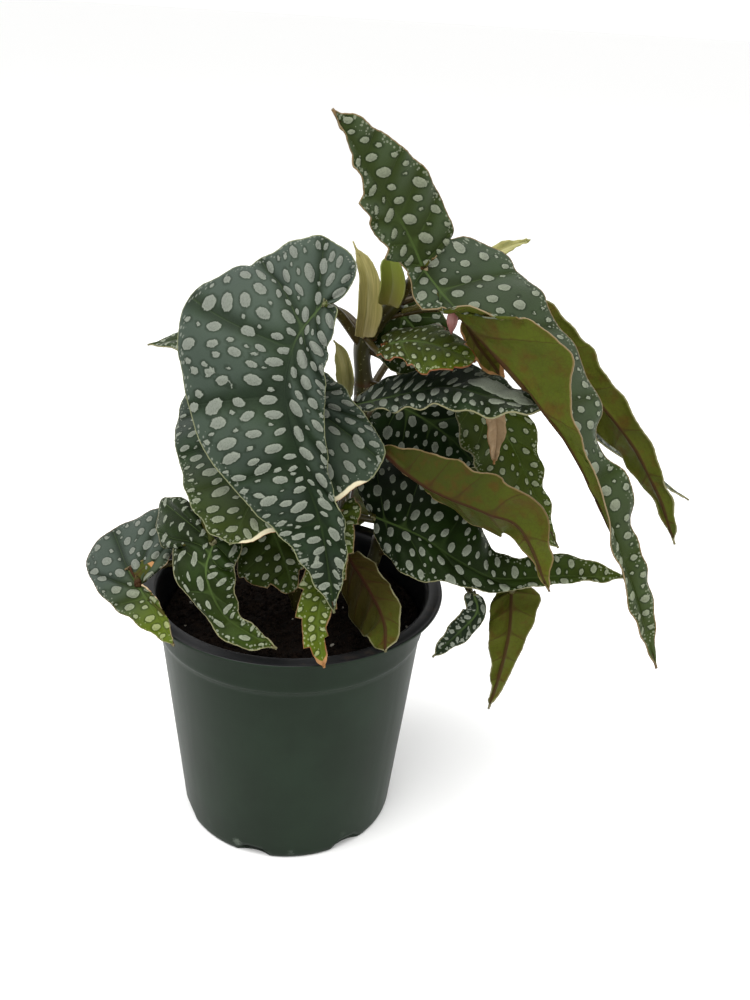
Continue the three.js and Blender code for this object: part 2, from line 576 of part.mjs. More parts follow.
    colour: 'young', stalk: { from: [23, 2, 195], via: [24, -6, 194], thick: 1.2 },
  },
  leaf_young_brown: {
    ...SMALL,
    spine: [[55, -8, 206], [60, -14, 199], [65, -18, 194], [69, -20, 189]],
    face: [[0.3, 0.9, 0.1]],
    left: [[2, 4], [13, 6], [20, 4]], right: [[3, 4], [10, 5], [20, 4]],
    width: [6, 6], fold: [[15], [15]], curl: [[0], [0]], rib: 0.3,
    colour: 'brown', stalk: { from: [30, -1, 203], via: [44, -5, 208], thick: 1.1 },
  },
  leaf_young_pale: {
    ...SMALL, rows: 8,
    spine: [[60, 4, 222], [68, 6, 227], [76, 6, 230]],
    face: [[0, -0.9, 0.4]],
    left: [[3, 2.4], [11, 2]], right: [[3, 2.4], [11, 2.2]],
    width: [4, 4], fold: [[20], [20]], curl: [[0], [0]], rib: 0.3,
    colour: 'young', stalk: { from: [32, -1, 207], via: [46, -6, 214], thick: 1.1 },
  },
  leaf_young_hanging: {
    ...SMALL, rows: 8,
    spine: [[66, -22, 181], [68, -24, 173], [68, -26, 162]],
    face: [[0.3, -0.9, 0.1]],
    left: [[2, 4], [11, 4]], right: [[3, 3], [10, 3]],
    width: [4, 4], fold: [[25], [25]], curl: [[0], [0]], rib: 0.3,
    colour: 'brown', stalk: { from: [23, 5, 177], via: [42, -8, 179], thick: 1.1 },
  },
};

for (const [name, given] of Object.entries(leaves)) {
  const shape = { ...PLAIN, ...given };
  let solid = solidOf(blade(shape)).add(solidOf(stalk(shape)));
  if (shape.wing) solid = solid.add(solidOf(blade({ ...PLAIN, ...shape.wing })));
  solid = solid.subtract(caneClearance);
  add(name, geometryOf(mainBody(solid)), COLOURS[shape.colour ?? 'leaf']);
}

// Sheaths clasp the upper cane where the youngest leaves left it
const SHEATH_SHAPE = {
  ...PLAIN, ...SMALL, width: [5, 5], fold: [[25], [25]], curl: [[40], [40]], thickness: SHEATH, rib: 0,
  rows: 8, wave: [[0, 0, 0], [0, 0, 0]],
};
const sheaths = {
  sheath_tall: {
    spine: [[22, -3, 196], [23, -5, 207], [22, -5, 218], [17, -2, 228]], face: [[0.2, -0.9, 0.2]],
    left: [[3, 5], [12, 6.5], [22, 4.5], [29, 1.5]], right: [[3, 5], [12, 6.5], [20, 4.5], [28, 1.5]],
  },
  sheath_yellow: {
    spine: [[30, -8, 209], [31, -10, 217], [29, -9, 226]], face: [[0, -1, 0.1]],
    left: [[2, 5], [8, 6.5], [14, 4]], right: [[2, 5], [8, 6.5], [14, 4]],
  },
  sheath_low: {
    spine: [[18, 0, 172], [17.5, -2, 182], [15.5, -3, 190], [12, -4, 195]], face: [[-0.3, -0.9, 0.1]],
    left: [[5, 3], [11, 4.5], [18, 3]], right: [[5, 3], [11, 4.5], [18, 3]],
  },
};
for (const [name, given] of Object.entries(sheaths)) {
  const solid = solidOf(blade({ ...SHEATH_SHAPE, ...given }));
  add(name, geometryOf(solid.subtract(caneClearance)), COLOURS.sheath, 0.6);
}

// One pink flower bud hangs from its own thin stalk at the top of the tall cane
const flowerPath = [[35, -4, 206], [42, -12, 211], [47, -19, 216], [50.5, -21.6, 213.2]];
const flowerCurve = smoothCurve(flowerPath.map(vector));
const flowerStalk = solidOf(stem(flowerCurve, (t) => 0.9 - 0.2 * t, 6, 9)).subtract(caneClearance);
add('flower_stalk', geometryOf(flowerStalk), COLOURS.cane);

function budGeometry() {
  const profile = Array.from({ length: 9 }, (_, i) => {
    const t = i / 8;
    return new THREE.Vector2(BUD_RADIUS * Math.sin(Math.PI * t ** 0.85), -BUD_LENGTH * t);
  });
  const bud = new THREE.LatheGeometry(profile.reverse(), 10);
  bud.rotateX(Math.PI / 2);
  const [x, y, z] = flowerPath.at(-1);
  bud.translate(x, y, z - GAP);
  return geometryOf(solidOf(bud));
}
add('flower_bud', budGeometry(), COLOURS.bud, 0.6);

export default plant;
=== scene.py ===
import math
from functools import partial
import bpy
import bmesh
import numpy as np
from mathutils import Matrix, Vector


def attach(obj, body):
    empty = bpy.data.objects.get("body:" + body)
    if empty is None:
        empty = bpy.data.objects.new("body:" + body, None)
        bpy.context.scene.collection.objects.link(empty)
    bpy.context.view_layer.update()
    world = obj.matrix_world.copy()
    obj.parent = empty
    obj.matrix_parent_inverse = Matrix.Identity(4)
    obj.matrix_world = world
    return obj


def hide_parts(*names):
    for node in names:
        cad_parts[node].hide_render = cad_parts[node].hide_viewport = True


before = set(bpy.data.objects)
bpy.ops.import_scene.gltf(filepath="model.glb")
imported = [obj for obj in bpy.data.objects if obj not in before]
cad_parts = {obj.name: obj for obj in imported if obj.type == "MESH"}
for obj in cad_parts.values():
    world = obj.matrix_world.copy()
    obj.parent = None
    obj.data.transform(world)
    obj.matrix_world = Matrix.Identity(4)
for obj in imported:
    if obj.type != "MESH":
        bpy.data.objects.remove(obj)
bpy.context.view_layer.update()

mm = 0.001
print("frame loaded:", len(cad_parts), "nodes")


# materials

def colour(code):
    # sRGB hex to the linear values that the shaders take
    parts = [int(code[i:i + 2], 16) / 255 for i in (1, 3, 5)]
    return [p / 12.92 if p <= 0.04045 else ((p + 0.055) / 1.055) ** 2.4 for p in parts] + [1.0]


# each short name's node, its sockets in order with what they hold unless told, its output and settings
nodeKinds = {
    "smooth": ("MapRange", {"Value": 0.0, "From Min": 0.0, "From Max": 1.0}, 0,
               dict(interpolation_type="SMOOTHSTEP")),  # 0 below the second value, 1 above the third
    "range": ("MapRange", {"Value": 0.0, "To Min": 0.0, "To Max": 1.0}, 0, {}),
    "mix": ("Mix", {0: 0.5, 6: "#000000", 7: "#000000"}, 2, dict(data_type="RGBA")),
    "stretch": ("VectorMath", {0: (0, 0, 0), 1: (1, 1, 1)}, 0, dict(operation="MULTIPLY")),
    "noise": ("TexNoise", {"Vector": (0, 0, 0), "Scale": 1.0, "Detail": 3.0, "Roughness": 0.55}, 0, {}),
    "cells": ("TexVoronoi", {"Vector": (0, 0, 0), "Scale": 1.0}, 0, {}),
    "bump": ("Bump", {"Strength": 1.0, "Distance": mm, "Height": 0.0}, 0, {}),
    "split": ("SeparateXYZ", {0: (0, 0, 0)}, 0, {}),
    "attribute": ("Attribute", {}, "Vector", {}),
    "objectPoint": ("TexCoord", {}, 3, {}),
}
for name in ("add", "subtract", "multiply", "maximum", "absolute", "fract"):
    nodeKinds[name] = ("Math", {0: 0.0, 1: 0.0}, 0, dict(operation=name.upper()))


def feed(material, node, inputs):
    # each input is a number, a hex colour or the socket that feeds it
    for name, value in inputs.items():
        if isinstance(value, bpy.types.NodeSocket):
            material.node_tree.links.new(value, node.inputs[name])
        else:
            node.inputs[name].default_value = colour(value) if isinstance(value, str) else value


def addNode(material, kind, *values, out=None, **settings):
    # a node with its settings, its sockets fed in order by the values
    kind, sockets, usual, fixed = nodeKinds[kind]
    made = material.node_tree.nodes.new("ShaderNode" + kind)
    for name, value in {**fixed, **settings}.items():
        setattr(made, name, value)
    feed(material, made, {**sockets, **dict(zip(sockets, values))})
    return made.outputs[usual if out is None else out]


def newMaterial(name):
    # the material, its shader, and addNode for this material
    material = bpy.data.materials.new(name)
    material.use_nodes = True
    return material, material.node_tree.nodes["Principled BSDF"], partial(addNode, material)


def millimetres(node):
    # the surface point in mm, so that a pattern's scale is 1 / its size in mm
    return node("stretch", node("objectPoint"), (1000.0, 1000.0, 1000.0))


def leafFields(node):
    # place = (along, out, leaf) in mm, bands = (vein phase, vein spacing, mm to the margin),
    # tone = (yellow, red, width of the dry margin), shade = (painted blue-grey sheen of reflected light,
    # yellow underside partly painted as light shining through, rust margin)
    f = {name: list(node("split", node("attribute", attribute_name=name)).node.outputs)
         for name in ("place", "bands", "tone", "shade")}
    f["at"] = node("attribute", attribute_name="place")
    f["spot"] = node("attribute", attribute_name="spot", out="Fac")
    return f


def fromVein(node, f):
    # mm to the nearest side vein: those lie where the phase is half way between numbers
    offset = node("absolute", node("subtract", node("fract", f["bands"][0]), 0.5))
    return node("multiply", offset, f["bands"][1])


def veinMask(node, f, rib, side):
    # 1 within rib mm of the midrib and, weaker, within side mm of a side vein
    sideMask = node("smooth", node("subtract", side, fromVein(node, f)), -0.14, 0.05)
    toRib = node("subtract", rib, node("absolute", f["place"][1]))
    # the midrib starts at the joint: the basal lobes behind it have none
    ribMask = node("multiply", node("smooth", toRib, -0.2, 0.1), node("smooth", f["place"][0], -1.5, 0.5))
    return node("maximum", node("multiply", sideMask, 0.55), ribMask)


# colours, then the sizes of patterns in mm; gloss ranges are roughness
# blue and silverBlue are painted grey sheen of reflected light; deep also serves as painted shade in the
# grooves and round the spots
leafFinish = dict(deep="#060f04", green="#132309", blue="#39423b", yellow="#4a570f", red="#3e1c12",
                  silver="#686d62", silverEdge="#797e71", silverBlue="#666963", silverYellow="#7f8650",
                  pit="#4c5446", vein="#4c6030", cream="#c4bb9e", dry="#9a7048", dryDark="#664424",
                  rust="#74391e", pale="#7a7d5c", cutEdge="#5d5a34", under="#28300d", underYellow="#5a6119",
                  underRed="#472512", underVein="#301010", underCloud="#161e09", sheen="#a4b890",
                  cloudSize=14.0, fineSize=1.6, raggedSize=1.3, pitSize=0.45, cellSize=0.5,
                  underCloudSize=12.0, underFineSize=1.2, flushSize=5.0, cutSize=3.0,
                  flecksPerMm=0.85, netPerMm=0.7, ribWidth=0.35, veinWidth=0.06, underRibWidth=0.45,
                  underVeinWidth=0.08, relief=0.3 * mm, ior=1.4, gloss=(0.36, 0.52), underGloss=(0.45, 0.62))


def rimColour(node, f):
    return node("mix", f["shade"][2], leafFinish["pale"], leafFinish["rust"])


def dryMask(node, f, cloud):
    # 1 in the border where the blade has withered, with a cloudy inner limit
    limit = node("multiply", f["tone"][2], node("add", cloud, 0.5))
    return node("smooth", node("subtract", limit, f["bands"][2]), -0.1, 0.4)


def leafUpperMaterial():
    # satin cuticle of a living leaf: soft broad highlights, silver blisters with air under the skin
    material, skin, node = newMaterial("satinLeafCuticle")
    c, f = leafFinish, leafFields(node)
    at, paintedSheen, yellow, rust, toMargin = f["at"], f["shade"][0], f["tone"][0], f["shade"][2], f["bands"][2]
    cloud = node("noise", at, 1 / c["cloudSize"])
    fine = node("noise", at, 1 / c["fineSize"], 4.0)
    base = node("mix", node("smooth", cloud, 0.35, 0.7), c["deep"], c["green"])
    # painted grey sheen of reflected light on the swells between the side veins, painted shade down in the
    # grooves beside them
    away = fromVein(node, f)
    swell = node("add", node("multiply", node("smooth", away, 0.6, 3.2), 0.5), 0.5)
    base = node("mix", node("multiply", paintedSheen, swell), base, c["blue"])
    base = node("mix", node("multiply", node("smooth", away, 1.8, 0.0), 0.55), base, c["deep"])
    base = node("mix", yellow, base, c["yellow"])
    base = node("mix", f["tone"][1], base, c["red"])
    # veins are palest at the joint, sink into the green further out, and are dulled under the painted sheen
    veins = veinMask(node, f, c["ribWidth"], c["veinWidth"])
    veinTone = node("add", node("multiply", node("smooth", f["place"][0], 30.0, 2.0), 0.5), 0.16)
    veinTone = node("subtract", veinTone, node("multiply", paintedSheen, 0.3))
    base = node("mix", node("multiply", veins, veinTone, use_clamp=True), base, c["vein"])
    # spots: mm inside the outline, with the outline roughened a little
    ragged = node("multiply", node("subtract", node("noise", at, 1 / c["raggedSize"]), 0.5), 0.8)
    spot = node("add", f["spot"], ragged)
    spotShadeRing = node("smooth", spot, -0.8, -0.05)
    body = node("smooth", spot, -0.07, 0.12)
    inner = node("smooth", spot, 0.15, 0.8)
    # small flecks crowd towards the margin
    fleckSize = node("multiply", node("smooth", toMargin, 5.0, 0.8), 0.34)
    fleckSize = node("add", fleckSize, node("multiply", cloud, 0.06))
    flecks = node("smooth", node("subtract", fleckSize, node("cells", at, c["flecksPerMm"])), -0.02, 0.05)
    flecks = node("multiply", flecks, node("smooth", f["spot"], -5.9, -5.5))
    # painted shade in a ring round each raised spot, where a groove would fall dark
    shaded = node("mix", node("multiply", spotShadeRing, 0.5), base, c["deep"])
    silver = node("mix", inner, c["silverEdge"], c["silver"])
    # painted grey sheen of reflected light laid over the silver spots too
    silver = node("mix", node("multiply", paintedSheen, 0.8), silver, c["silverBlue"])
    silver = node("mix", yellow, silver, c["silverYellow"])
    pits = node("smooth", node("noise", at, 1 / c["pitSize"]), 0.5, 0.62)
    silver = node("mix", node("multiply", pits, 0.4), silver, c["pit"])
    mask = node("maximum", body, node("multiply", flecks, 0.7))
    tinted = node("mix", mask, shaded, silver)
    # margin line, then the dry tan border
    edge = node("smooth", toMargin, 0.5, 0.15)
    tinted = node("mix", node("multiply", edge, 0.85), tinted, rimColour(node, f))
    tan = node("mix", rust, c["cream"], c["dry"])
    tan = node("mix", node("multiply", fine, rust), tan, c["dryDark"])
    tinted = node("mix", dryMask(node, f, cloud), tinted, tan)
    gloss = node("add", node("range", fine, *c["gloss"]), node("multiply", mask, 0.1))
    dome = node("multiply", node("smooth", spot, -0.1, 1.1), 2.2)
    cells = node("noise", at, 1 / c["cellSize"], 2.0)
    height = node("add", node("multiply", cells, 0.5), node("multiply", veins, -0.8))
    feed(material, skin, {"Base Color": tinted, "Roughness": gloss, "IOR": c["ior"],
                          "Specular IOR Level": 0.25, "Specular Tint": c["sheen"],
                          "Normal": node("bump", 0.55, c["relief"], node("add", height, dome))})
    return material


def leafUnderMaterial():
    # paler, duller underside: olive to wine red, with the veins standing out darker
    material, skin, node = newMaterial("oliveLeafUnderside")
    c, f = leafFinish, leafFields(node)
    cloud = node("noise", f["at"], 1 / c["underCloudSize"])
    fine = node("noise", f["at"], 1 / c["underFineSize"], 4.0)
    # the yellow-olive share is partly the underside's own colour and partly painted glow of light shining
    # through the blade
    base = node("mix", f["shade"][1], c["under"], c["underYellow"])
    base = node("mix", node("multiply", cloud, 0.5), base, c["underCloud"])
    flush = node("smooth", node("noise", f["at"], 1 / c["flushSize"], 4.0), 0.42, 0.75)
    flush = node("maximum", node("multiply", flush, 0.5), f["tone"][1])
    base = node("mix", flush, base, c["underRed"])
    veins = veinMask(node, f, c["underRibWidth"], c["underVeinWidth"])
    base = node("mix", node("multiply", veins, 0.75), base, c["underVein"])
    net = node("cells", f["at"], c["netPerMm"], feature="DISTANCE_TO_EDGE")
    netMask = node("multiply", node("smooth", net, 0.08, 0.02), 0.16)
    base = node("mix", netMask, base, c["underVein"])
    edge = node("smooth", f["bands"][2], 0.6, 0.2)
    base = node("mix", node("multiply", edge, 0.7), base, rimColour(node, f))
    base = node("mix", dryMask(node, f, cloud), base, c["dry"])
    height = node("add", node("multiply", veins, 0.8), node("multiply", netMask, 1.5))
    feed(material, skin, {"Base Color": base, "Roughness": node("range", fine, *c["underGloss"]),
                          "IOR": c["ior"], "Specular IOR Level": 0.2, "Specular Tint": c["sheen"],
                          "Normal": node("bump", 0.4, c["relief"], height)})
    return material


def leafMarginMaterial():
    # the thin cut edge of the blade, pale green to rust
    material, skin, node = newMaterial("rustyLeafMargin")
    c, f = leafFinish, leafFields(node)
    blotch = node("multiply", node("noise", f["at"], 1 / c["cutSize"]), 0.6)
    base = node("mix", blotch, rimColour(node, f), c["cutEdge"])
    base = node("mix", node("smooth", f["tone"][2], 0.0, 0.6), base, c["dry"])
    feed(material, skin, {"Base Color": base, "Roughness": 0.55})
    return material


stemFinish = dict(green="#10170a", light="#212b0d", olive="#65692c", red="#4a1c16", pore="#8b8660",
                  streakSize=3.0, streakPull=0.22, poresPerMm=0.55, roughness=0.36, relief=0.2 * mm)


def stemMaterial():
    # smooth fleshy begonia cane: olive green, streaked, with small pale breathing pores
    material, skin, node = newMaterial("fleshyCaneSkin")
    c, place = stemFinish, millimetres(node)
    tone = node("split", node("attribute", attribute_name="tone")).node.outputs
    streak = node("noise", node("stretch", place, (1.0, 1.0, c["streakPull"])), 1 / c["streakSize"], 3.0, 0.6)
    base = node("mix", node("smooth", streak, 0.35, 0.7), c["green"], c["light"])
    base = node("mix", tone[0], base, c["olive"])
    base = node("mix", tone[1], base, c["red"])
    pores = node("smooth", node("cells", place, c["poresPerMm"]), 0.2, 0.12)
    base = node("mix", node("multiply", pores, 0.45), base, c["pore"])
    height = node("add", node("multiply", streak, 0.6), pores)
    feed(material, skin, {"Base Color": base, "Roughness": c["roughness"], "Specular IOR Level": 0.2,
                          "Normal": node("bump", 0.35, c["relief"], height)})
    return material


bractFinish = dict(pale="#7a7640", light="#989058", yellow="#5e6f18", red="#57261b",
                   nerveSize=0.8, nervePull=0.08, roughness=0.5, relief=0.2 * mm)


def sheathMaterial():
    # papery bract: pale, with fine lengthwise nerves and a ruddy keel near the joint
    material, skin, node = newMaterial("paperyBract")
    c, f = bractFinish, leafFields(node)
    pulled = node("stretch", f["at"], (c["nervePull"], 1.0, 1.0))
    nerves = node("noise", pulled, 1 / c["nerveSize"], 3.0, 0.6)
    base = node("mix", node("smooth", nerves, 0.3, 0.7), c["pale"], c["light"])
    base = node("mix", f["tone"][0], base, c["yellow"])
    base = node("mix", f["tone"][1], base, c["red"])
    feed(material, skin, {"Base Color": base, "Roughness": c["roughness"],
                          "Normal": node("bump", 0.4, c["relief"], nerves)})
    return material


satinCuticle = leafUpperMaterial()
underside = leafUnderMaterial()
rustyMargin = leafMarginMaterial()
caneSkin = stemMaterial()
paperyBract = sheathMaterial()
print("plant materials ready")


# shapes in mm, made metres when a piece is finished

def ease(x):
    x = np.clip(x, 0, 1)
    return x * x * (3 - 2 * x)


def smoothLine(points, count):
    # a Catmull-Rom line through the points, as evenly spaced points, with its length
    points = np.asarray(points, float)
    ends = np.vstack([2 * points[0] - points[1], points, 2 * points[-1] - points[-2]])
    t = np.linspace(0, len(points) - 1, 60 * len(points))
    i = np.minimum(t.astype(int), len(points) - 2)
    f = (t - i)[:, None]
    a, b, c, d = ends[i], ends[i + 1], ends[i + 2], ends[i + 3]
    line = 0.5 * (2 * b + (c - a) * f + (2 * a - 5 * b + 4 * c - d) * f ** 2
                  + (3 * b - a - 3 * c + d) * f ** 3)
    run = np.concatenate([[0], np.cumsum(np.linalg.norm(np.diff(line, axis=0), axis=1))])
    even = np.linspace(0, run[-1], count)
    return np.stack([np.interp(even, run, line[:, k]) for k in range(line.shape[1])], 1), run[-1]


def ramp(values, t):
    # values spaced evenly from the joint (0) to the tip (1)
    if len(values) == 1:
        return np.full_like(t, values[0])
    return np.interp(t, np.linspace(0, 1, len(values)), values)


def unit(v):
    return v / np.linalg.norm(v, axis=-1, keepdims=True)


def midribOf(leaf):
    # returns the blade's length and its frame: origin, along, up, across at distances from the joint
    spine = [np.array(p, float) for p in leaf["spine"]]
    heel = np.array(leaf["heel"], float) if "heel" in leaf else 2 * spine[0] - spine[1]
    line, whole = smoothLine([heel] + spine, 800)
    run = np.linspace(0, whole, 800)
    behind = run[np.argmin(np.linalg.norm(line - spine[0], axis=1))]
    length = whole - behind
    faces = unit(np.array(leaf["face"], float))

    def at(s):
        return np.stack([np.interp(s, run, line[:, k]) for k in range(3)], -1)

    def frameAt(a):
        s = np.asarray(a, float) + behind
        inner = np.clip(s, 1, whole - 1)
        along = unit(at(inner + 1) - at(inner - 1))
        origin = at(s) + along * (np.minimum(s, 0) + np.maximum(s - whole, 0))[..., None]
        t = np.clip(np.asarray(a) / length, 0, 1)
        up = np.stack([ramp(faces[:, k], t) for k in range(3)], -1)
        up = unit(up - (up * along).sum(-1, keepdims=True) * along)
        return origin, along, up, np.cross(up, along)

    return length, frameAt


# a plain blade; each pair is the left half and the right half. fold and curl are in degrees from joint
# to tip, wave is (count, height, phase), teeth is (count, depth)
plain = dict(fold=([6], [6]), curl=([-20], [-20]), width=(14, 14), wave=((5, 0.8, 0), (5, 0.8, 0.5)),
             teeth=((0, 0), (0, 0)))
faintWave = ((3, 0.4, 0), (3, 0.4, 0.5))
marginDetail = dict(tooth=0.22, toothEvery=2.6, ripple=0.45, rippleEvery=11)
# spots are size mm down to the small share of it; torn is (half, from, to, width of the dry margin),
# patches are (half, along, out, radius); the lists run from joint to tip
# blue is the share of painted grey sheen of reflected light on the upper face
plainLook = dict(size=4.2, small=0.3, gap=1.7, stretch=1.3, turn=0, veins=7, quilt=1.1, blister=0.22,
                 yellow=[0.0], red=[0.0], dry=0.0, dryTip=0.0, torn=[], patches=[], sink=2.1, blue=[0.25],
                 under=[0.2], rust=[0.15])
spotTries = 2600
leafSpacing = 61.0  # keeps the leaves apart in a pattern's space, so that no two look alike


def sideOf(leaf, length, k, rows):
    # one margin as evenly spaced [along, out] points, with its teeth
    margin, run = smoothLine([(0, 0)] + list(leaf[("left", "right")[k]]) + [(length, 0)], rows + 1)
    u = np.linspace(0, 1, rows + 1)
    teeth, depth = leaf["teeth"][k]
    d = marginDetail
    fine = d["tooth"] * (np.abs(((u * run / d["toothEvery"]) % 1) - 0.35) - 0.3)
    fine = fine + d["ripple"] * np.sin(2 * np.pi * u * run / d["rippleEvery"]) * np.sin(5 * u + k)
    bite = (((u * teeth) % 1) * depth + fine) * ease(u / 0.15) * ease((1 - u) / 0.05)
    slope = unit(np.gradient(margin, axis=0))
    return margin + np.stack([-slope[:, 1], slope[:, 0]], 1) * bite[:, None], run


def scatterSpots(draw, look, margin, stations, patches):
    # spots over one half, the largest first, none touching, each turned along its side vein
    rows = len(stations) - 1
    found = np.array([(a, b, radius, 1.0, 0.0) for a, b, radius in patches]).reshape(-1, 5)
    for attempt in range(spotTries):
        u, v = draw.uniform(0.02, 0.97), draw.uniform(0.03, 0.97)
        i = min(int(u * rows), rows - 1)
        mix = u * rows - i
        outer = margin[i] * (1 - mix) + margin[i + 1] * mix
        station = stations[i] * (1 - mix) + stations[i + 1] * mix
        reach = outer - (station, 0)
        span = np.linalg.norm(reach)
        shrink = 1 - (1 - look["small"]) * (attempt / spotTries) ** 0.6
        radius = 0.5 * look["size"] * shrink * draw.uniform(0.8, 1.2)
        radius *= 0.62 + 0.38 * ease(min(1 - v, v + 0.35) * span / (2.2 * look["size"]))
        a, b = station + reach[0] * v, reach[1] * v
        if abs(b) < radius + 0.5 or (1 - v) * span < radius + 0.7 or radius < 0.5:
            continue
        if len(found):
            far = (a - found[:, 0]) * found[:, 3] + (b - found[:, 1]) * found[:, 4]
            wide = (b - found[:, 1]) * found[:, 3] - (a - found[:, 0]) * found[:, 4]
            clear = np.hypot(far / look["stretch"], wide * look["stretch"] ** 0.5) - found[:, 2] - radius
            if clear.min() < look["gap"] * (0.45 + 0.55 * shrink) * draw.uniform(0.6, 1.3):
                continue
        turn = math.atan2(reach[1], reach[0]) + math.radians(look["turn"] + draw.uniform(-14, 14))
        found = np.vstack([found, (a, b, radius, math.cos(turn), math.sin(turn))])
    return found


def spotDepth(found, a, b, stretch):
    # mm inside the nearest spot's outline, negative outside
    best = np.full(a.shape, -6.0)
    for x, y, radius, dx, dy in found:
        p = (a - x) * dx + (b - y) * dy
        q = (b - y) * dx - (a - x) * dy
        best = np.maximum(best, radius - np.hypot(p / stretch, q * stretch ** 0.5))
    return best


def finish(name, mesh, materials, node):
    # a piece in metres at the origin, riding on the plant's body and standing for its node
    piece = bpy.data.objects.new(name, mesh)
    bpy.context.collection.objects.link(piece)
    for material in materials:
        mesh.materials.append(material)
    mesh.shade_smooth()
    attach(piece, "root")
    if node:
        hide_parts(node)
    return piece


def gridMesh(name, rows, columns, points, fields):
    # an operator's grid whose points move to points[row, column]; fields are stored on its points
    shape = bmesh.new()
    bmesh.ops.create_grid(shape, x_segments=rows, y_segments=columns, size=1)
    mesh = bpy.data.meshes.new(name)
    shape.to_mesh(mesh)
    flat = np.empty(len(mesh.vertices) * 3)
    mesh.vertices.foreach_get("co", flat)
    flat = flat.reshape(-1, 3)
    i = np.rint((flat[:, 0] + 1) / 2 * rows).astype(int)
    j = np.rint((flat[:, 1] + 1) / 2 * columns).astype(int)
    mesh.vertices.foreach_set("co", (points[i, j] * mm).ravel())
    for key, values in fields.items():
        kind, slot = ("FLOAT", "value") if values.ndim == 2 else ("FLOAT_VECTOR", "vector")
        mesh.attributes.new(key, kind, "POINT").data.foreach_set(slot, values[i, j].ravel())
    shape.clear()
    shape.from_mesh(mesh)
    bmesh.ops.remove_doubles(shape, verts=shape.verts, dist=0.002 * mm)
    shape.to_mesh(mesh)
    shape.free()
    return mesh


def faceOutwards(mesh):
    shape = bmesh.new()
    shape.from_mesh(mesh)
    bmesh.ops.recalc_face_normals(shape, faces=shape.faces)
    shape.to_mesh(mesh)
    shape.free()
    return mesh


def bladeMesh(name, leaf, look, number, cell=1.0):
    length, frameAt = midribOf(leaf)
    runs = [smoothLine([(0, 0)] + list(leaf[k]) + [(length, 0)], 9)[1] for k in ("left", "right")]
    rows = int(np.clip(max(runs) / (0.8 * cell), 40, 190))
    sides = [sideOf(leaf, length, k, rows) for k in (0, 1)]
    stations = sum(np.clip(m[:, 0] - 0.6 * m[:, 1], 0, length) for m, _ in sides) / 2
    stations[0], stations[-1] = 0, length
    stations = np.maximum.accumulate(stations)
    columns = int(np.clip(max(np.abs(m[:, 1]).max() for m, _ in sides) / cell, 8, 40))
    u = np.linspace(0, 1, rows + 1)[:, None]
    draw = np.random.RandomState(100 + number)
    halves = []
    for k, side in ((0, -1), (1, 1)):
        margin, run = sides[k]
        v = np.linspace(0, 1, columns + 1)[None, :]
        a = stations[:, None] * (1 - v) + margin[:, :1] * v
        b = margin[:, 1:] * v
        t = np.clip(a / length, 0, 1)
        origin, _, up, across = frameAt(a)
        fold = np.radians(ramp(leaf["fold"][k], t))
        bend = np.radians(ramp(leaf["curl"][k], t)) / leaf["width"][k]
        bend = np.where(np.abs(bend) < 1e-5, 1e-5, bend)
        angle = fold + bend * b
        out = (np.sin(angle) - np.sin(fold)) / bend
        rise = (np.cos(fold) - np.cos(angle)) / bend
        waves, height, phase = leaf["wave"][k]
        ends = ease(u / 0.2) * ease((1 - u) / 0.12)
        rise = rise + height * np.sin(2 * np.pi * (waves * u + phase)) * v ** 2 * ends
        point = origin + across * (side * out)[..., None] + up * rise[..., None]
        span = np.hypot(margin[:, 0] - stations, margin[:, 1])[:, None]
        veinPhase = u * look["veins"] * (1 + 0 * v)
        spacing = run / look["veins"] * v * (1 + 0 * u)
        quilt = look["quilt"] * (np.abs(np.cos(np.pi * veinPhase)) - 0.4) * np.clip(spacing / 9, 0, 1)
        quilt = quilt * ease((1 - v) / 0.25)
        patches = [p[1:] for p in look["patches"] if p[0] == k]
        found = scatterSpots(draw, look, margin, stations, patches) if look["size"] else np.empty((0, 5))
        spot = spotDepth(found, a, b, look["stretch"])
        lift = quilt + look["blister"] * ease(spot / 0.7) + 0.22
        withered = 0 * t
        for half, first, last, wide in look["torn"]:
            if half == k:
                withered = withered + wide * ease((u - first) / 0.03) * ease((last - u) / 0.03)
        halves.append(dict(
            point=point, up=up, lift=lift, spot=spot,
            place=np.stack([a, side * b, np.full_like(a, leafSpacing * number)], -1),
            bands=np.stack([veinPhase, spacing, (1 - v) * span + 0 * a], -1),
            tone=np.stack([ramp(look["yellow"], t), ramp(look["red"], t),
                           look["dry"] + look["dryTip"] * ease((t - 0.9) / 0.08) + withered], -1),
            shade=np.stack([ramp(look["blue"], t), ramp(look["under"], t), ramp(look["rust"], t)], -1)))
    join = {key: np.concatenate([halves[0][key][:, :0:-1], halves[1][key]], 1) for key in halves[0]}
    # lift along the surface's own normal, found from its neighbours
    normal = np.cross(np.gradient(join["point"], axis=0), np.gradient(join["point"], axis=1))
    size = np.linalg.norm(normal, axis=-1, keepdims=True)
    normal = np.where(size > 1e-6, normal / np.maximum(size, 1e-9), join["up"])
    points = join["point"] + normal * join["lift"][..., None]
    fields = {key: join[key] for key in ("spot", "place", "bands", "tone", "shade")}
    return gridMesh(name, rows, 2 * columns, points, fields), length


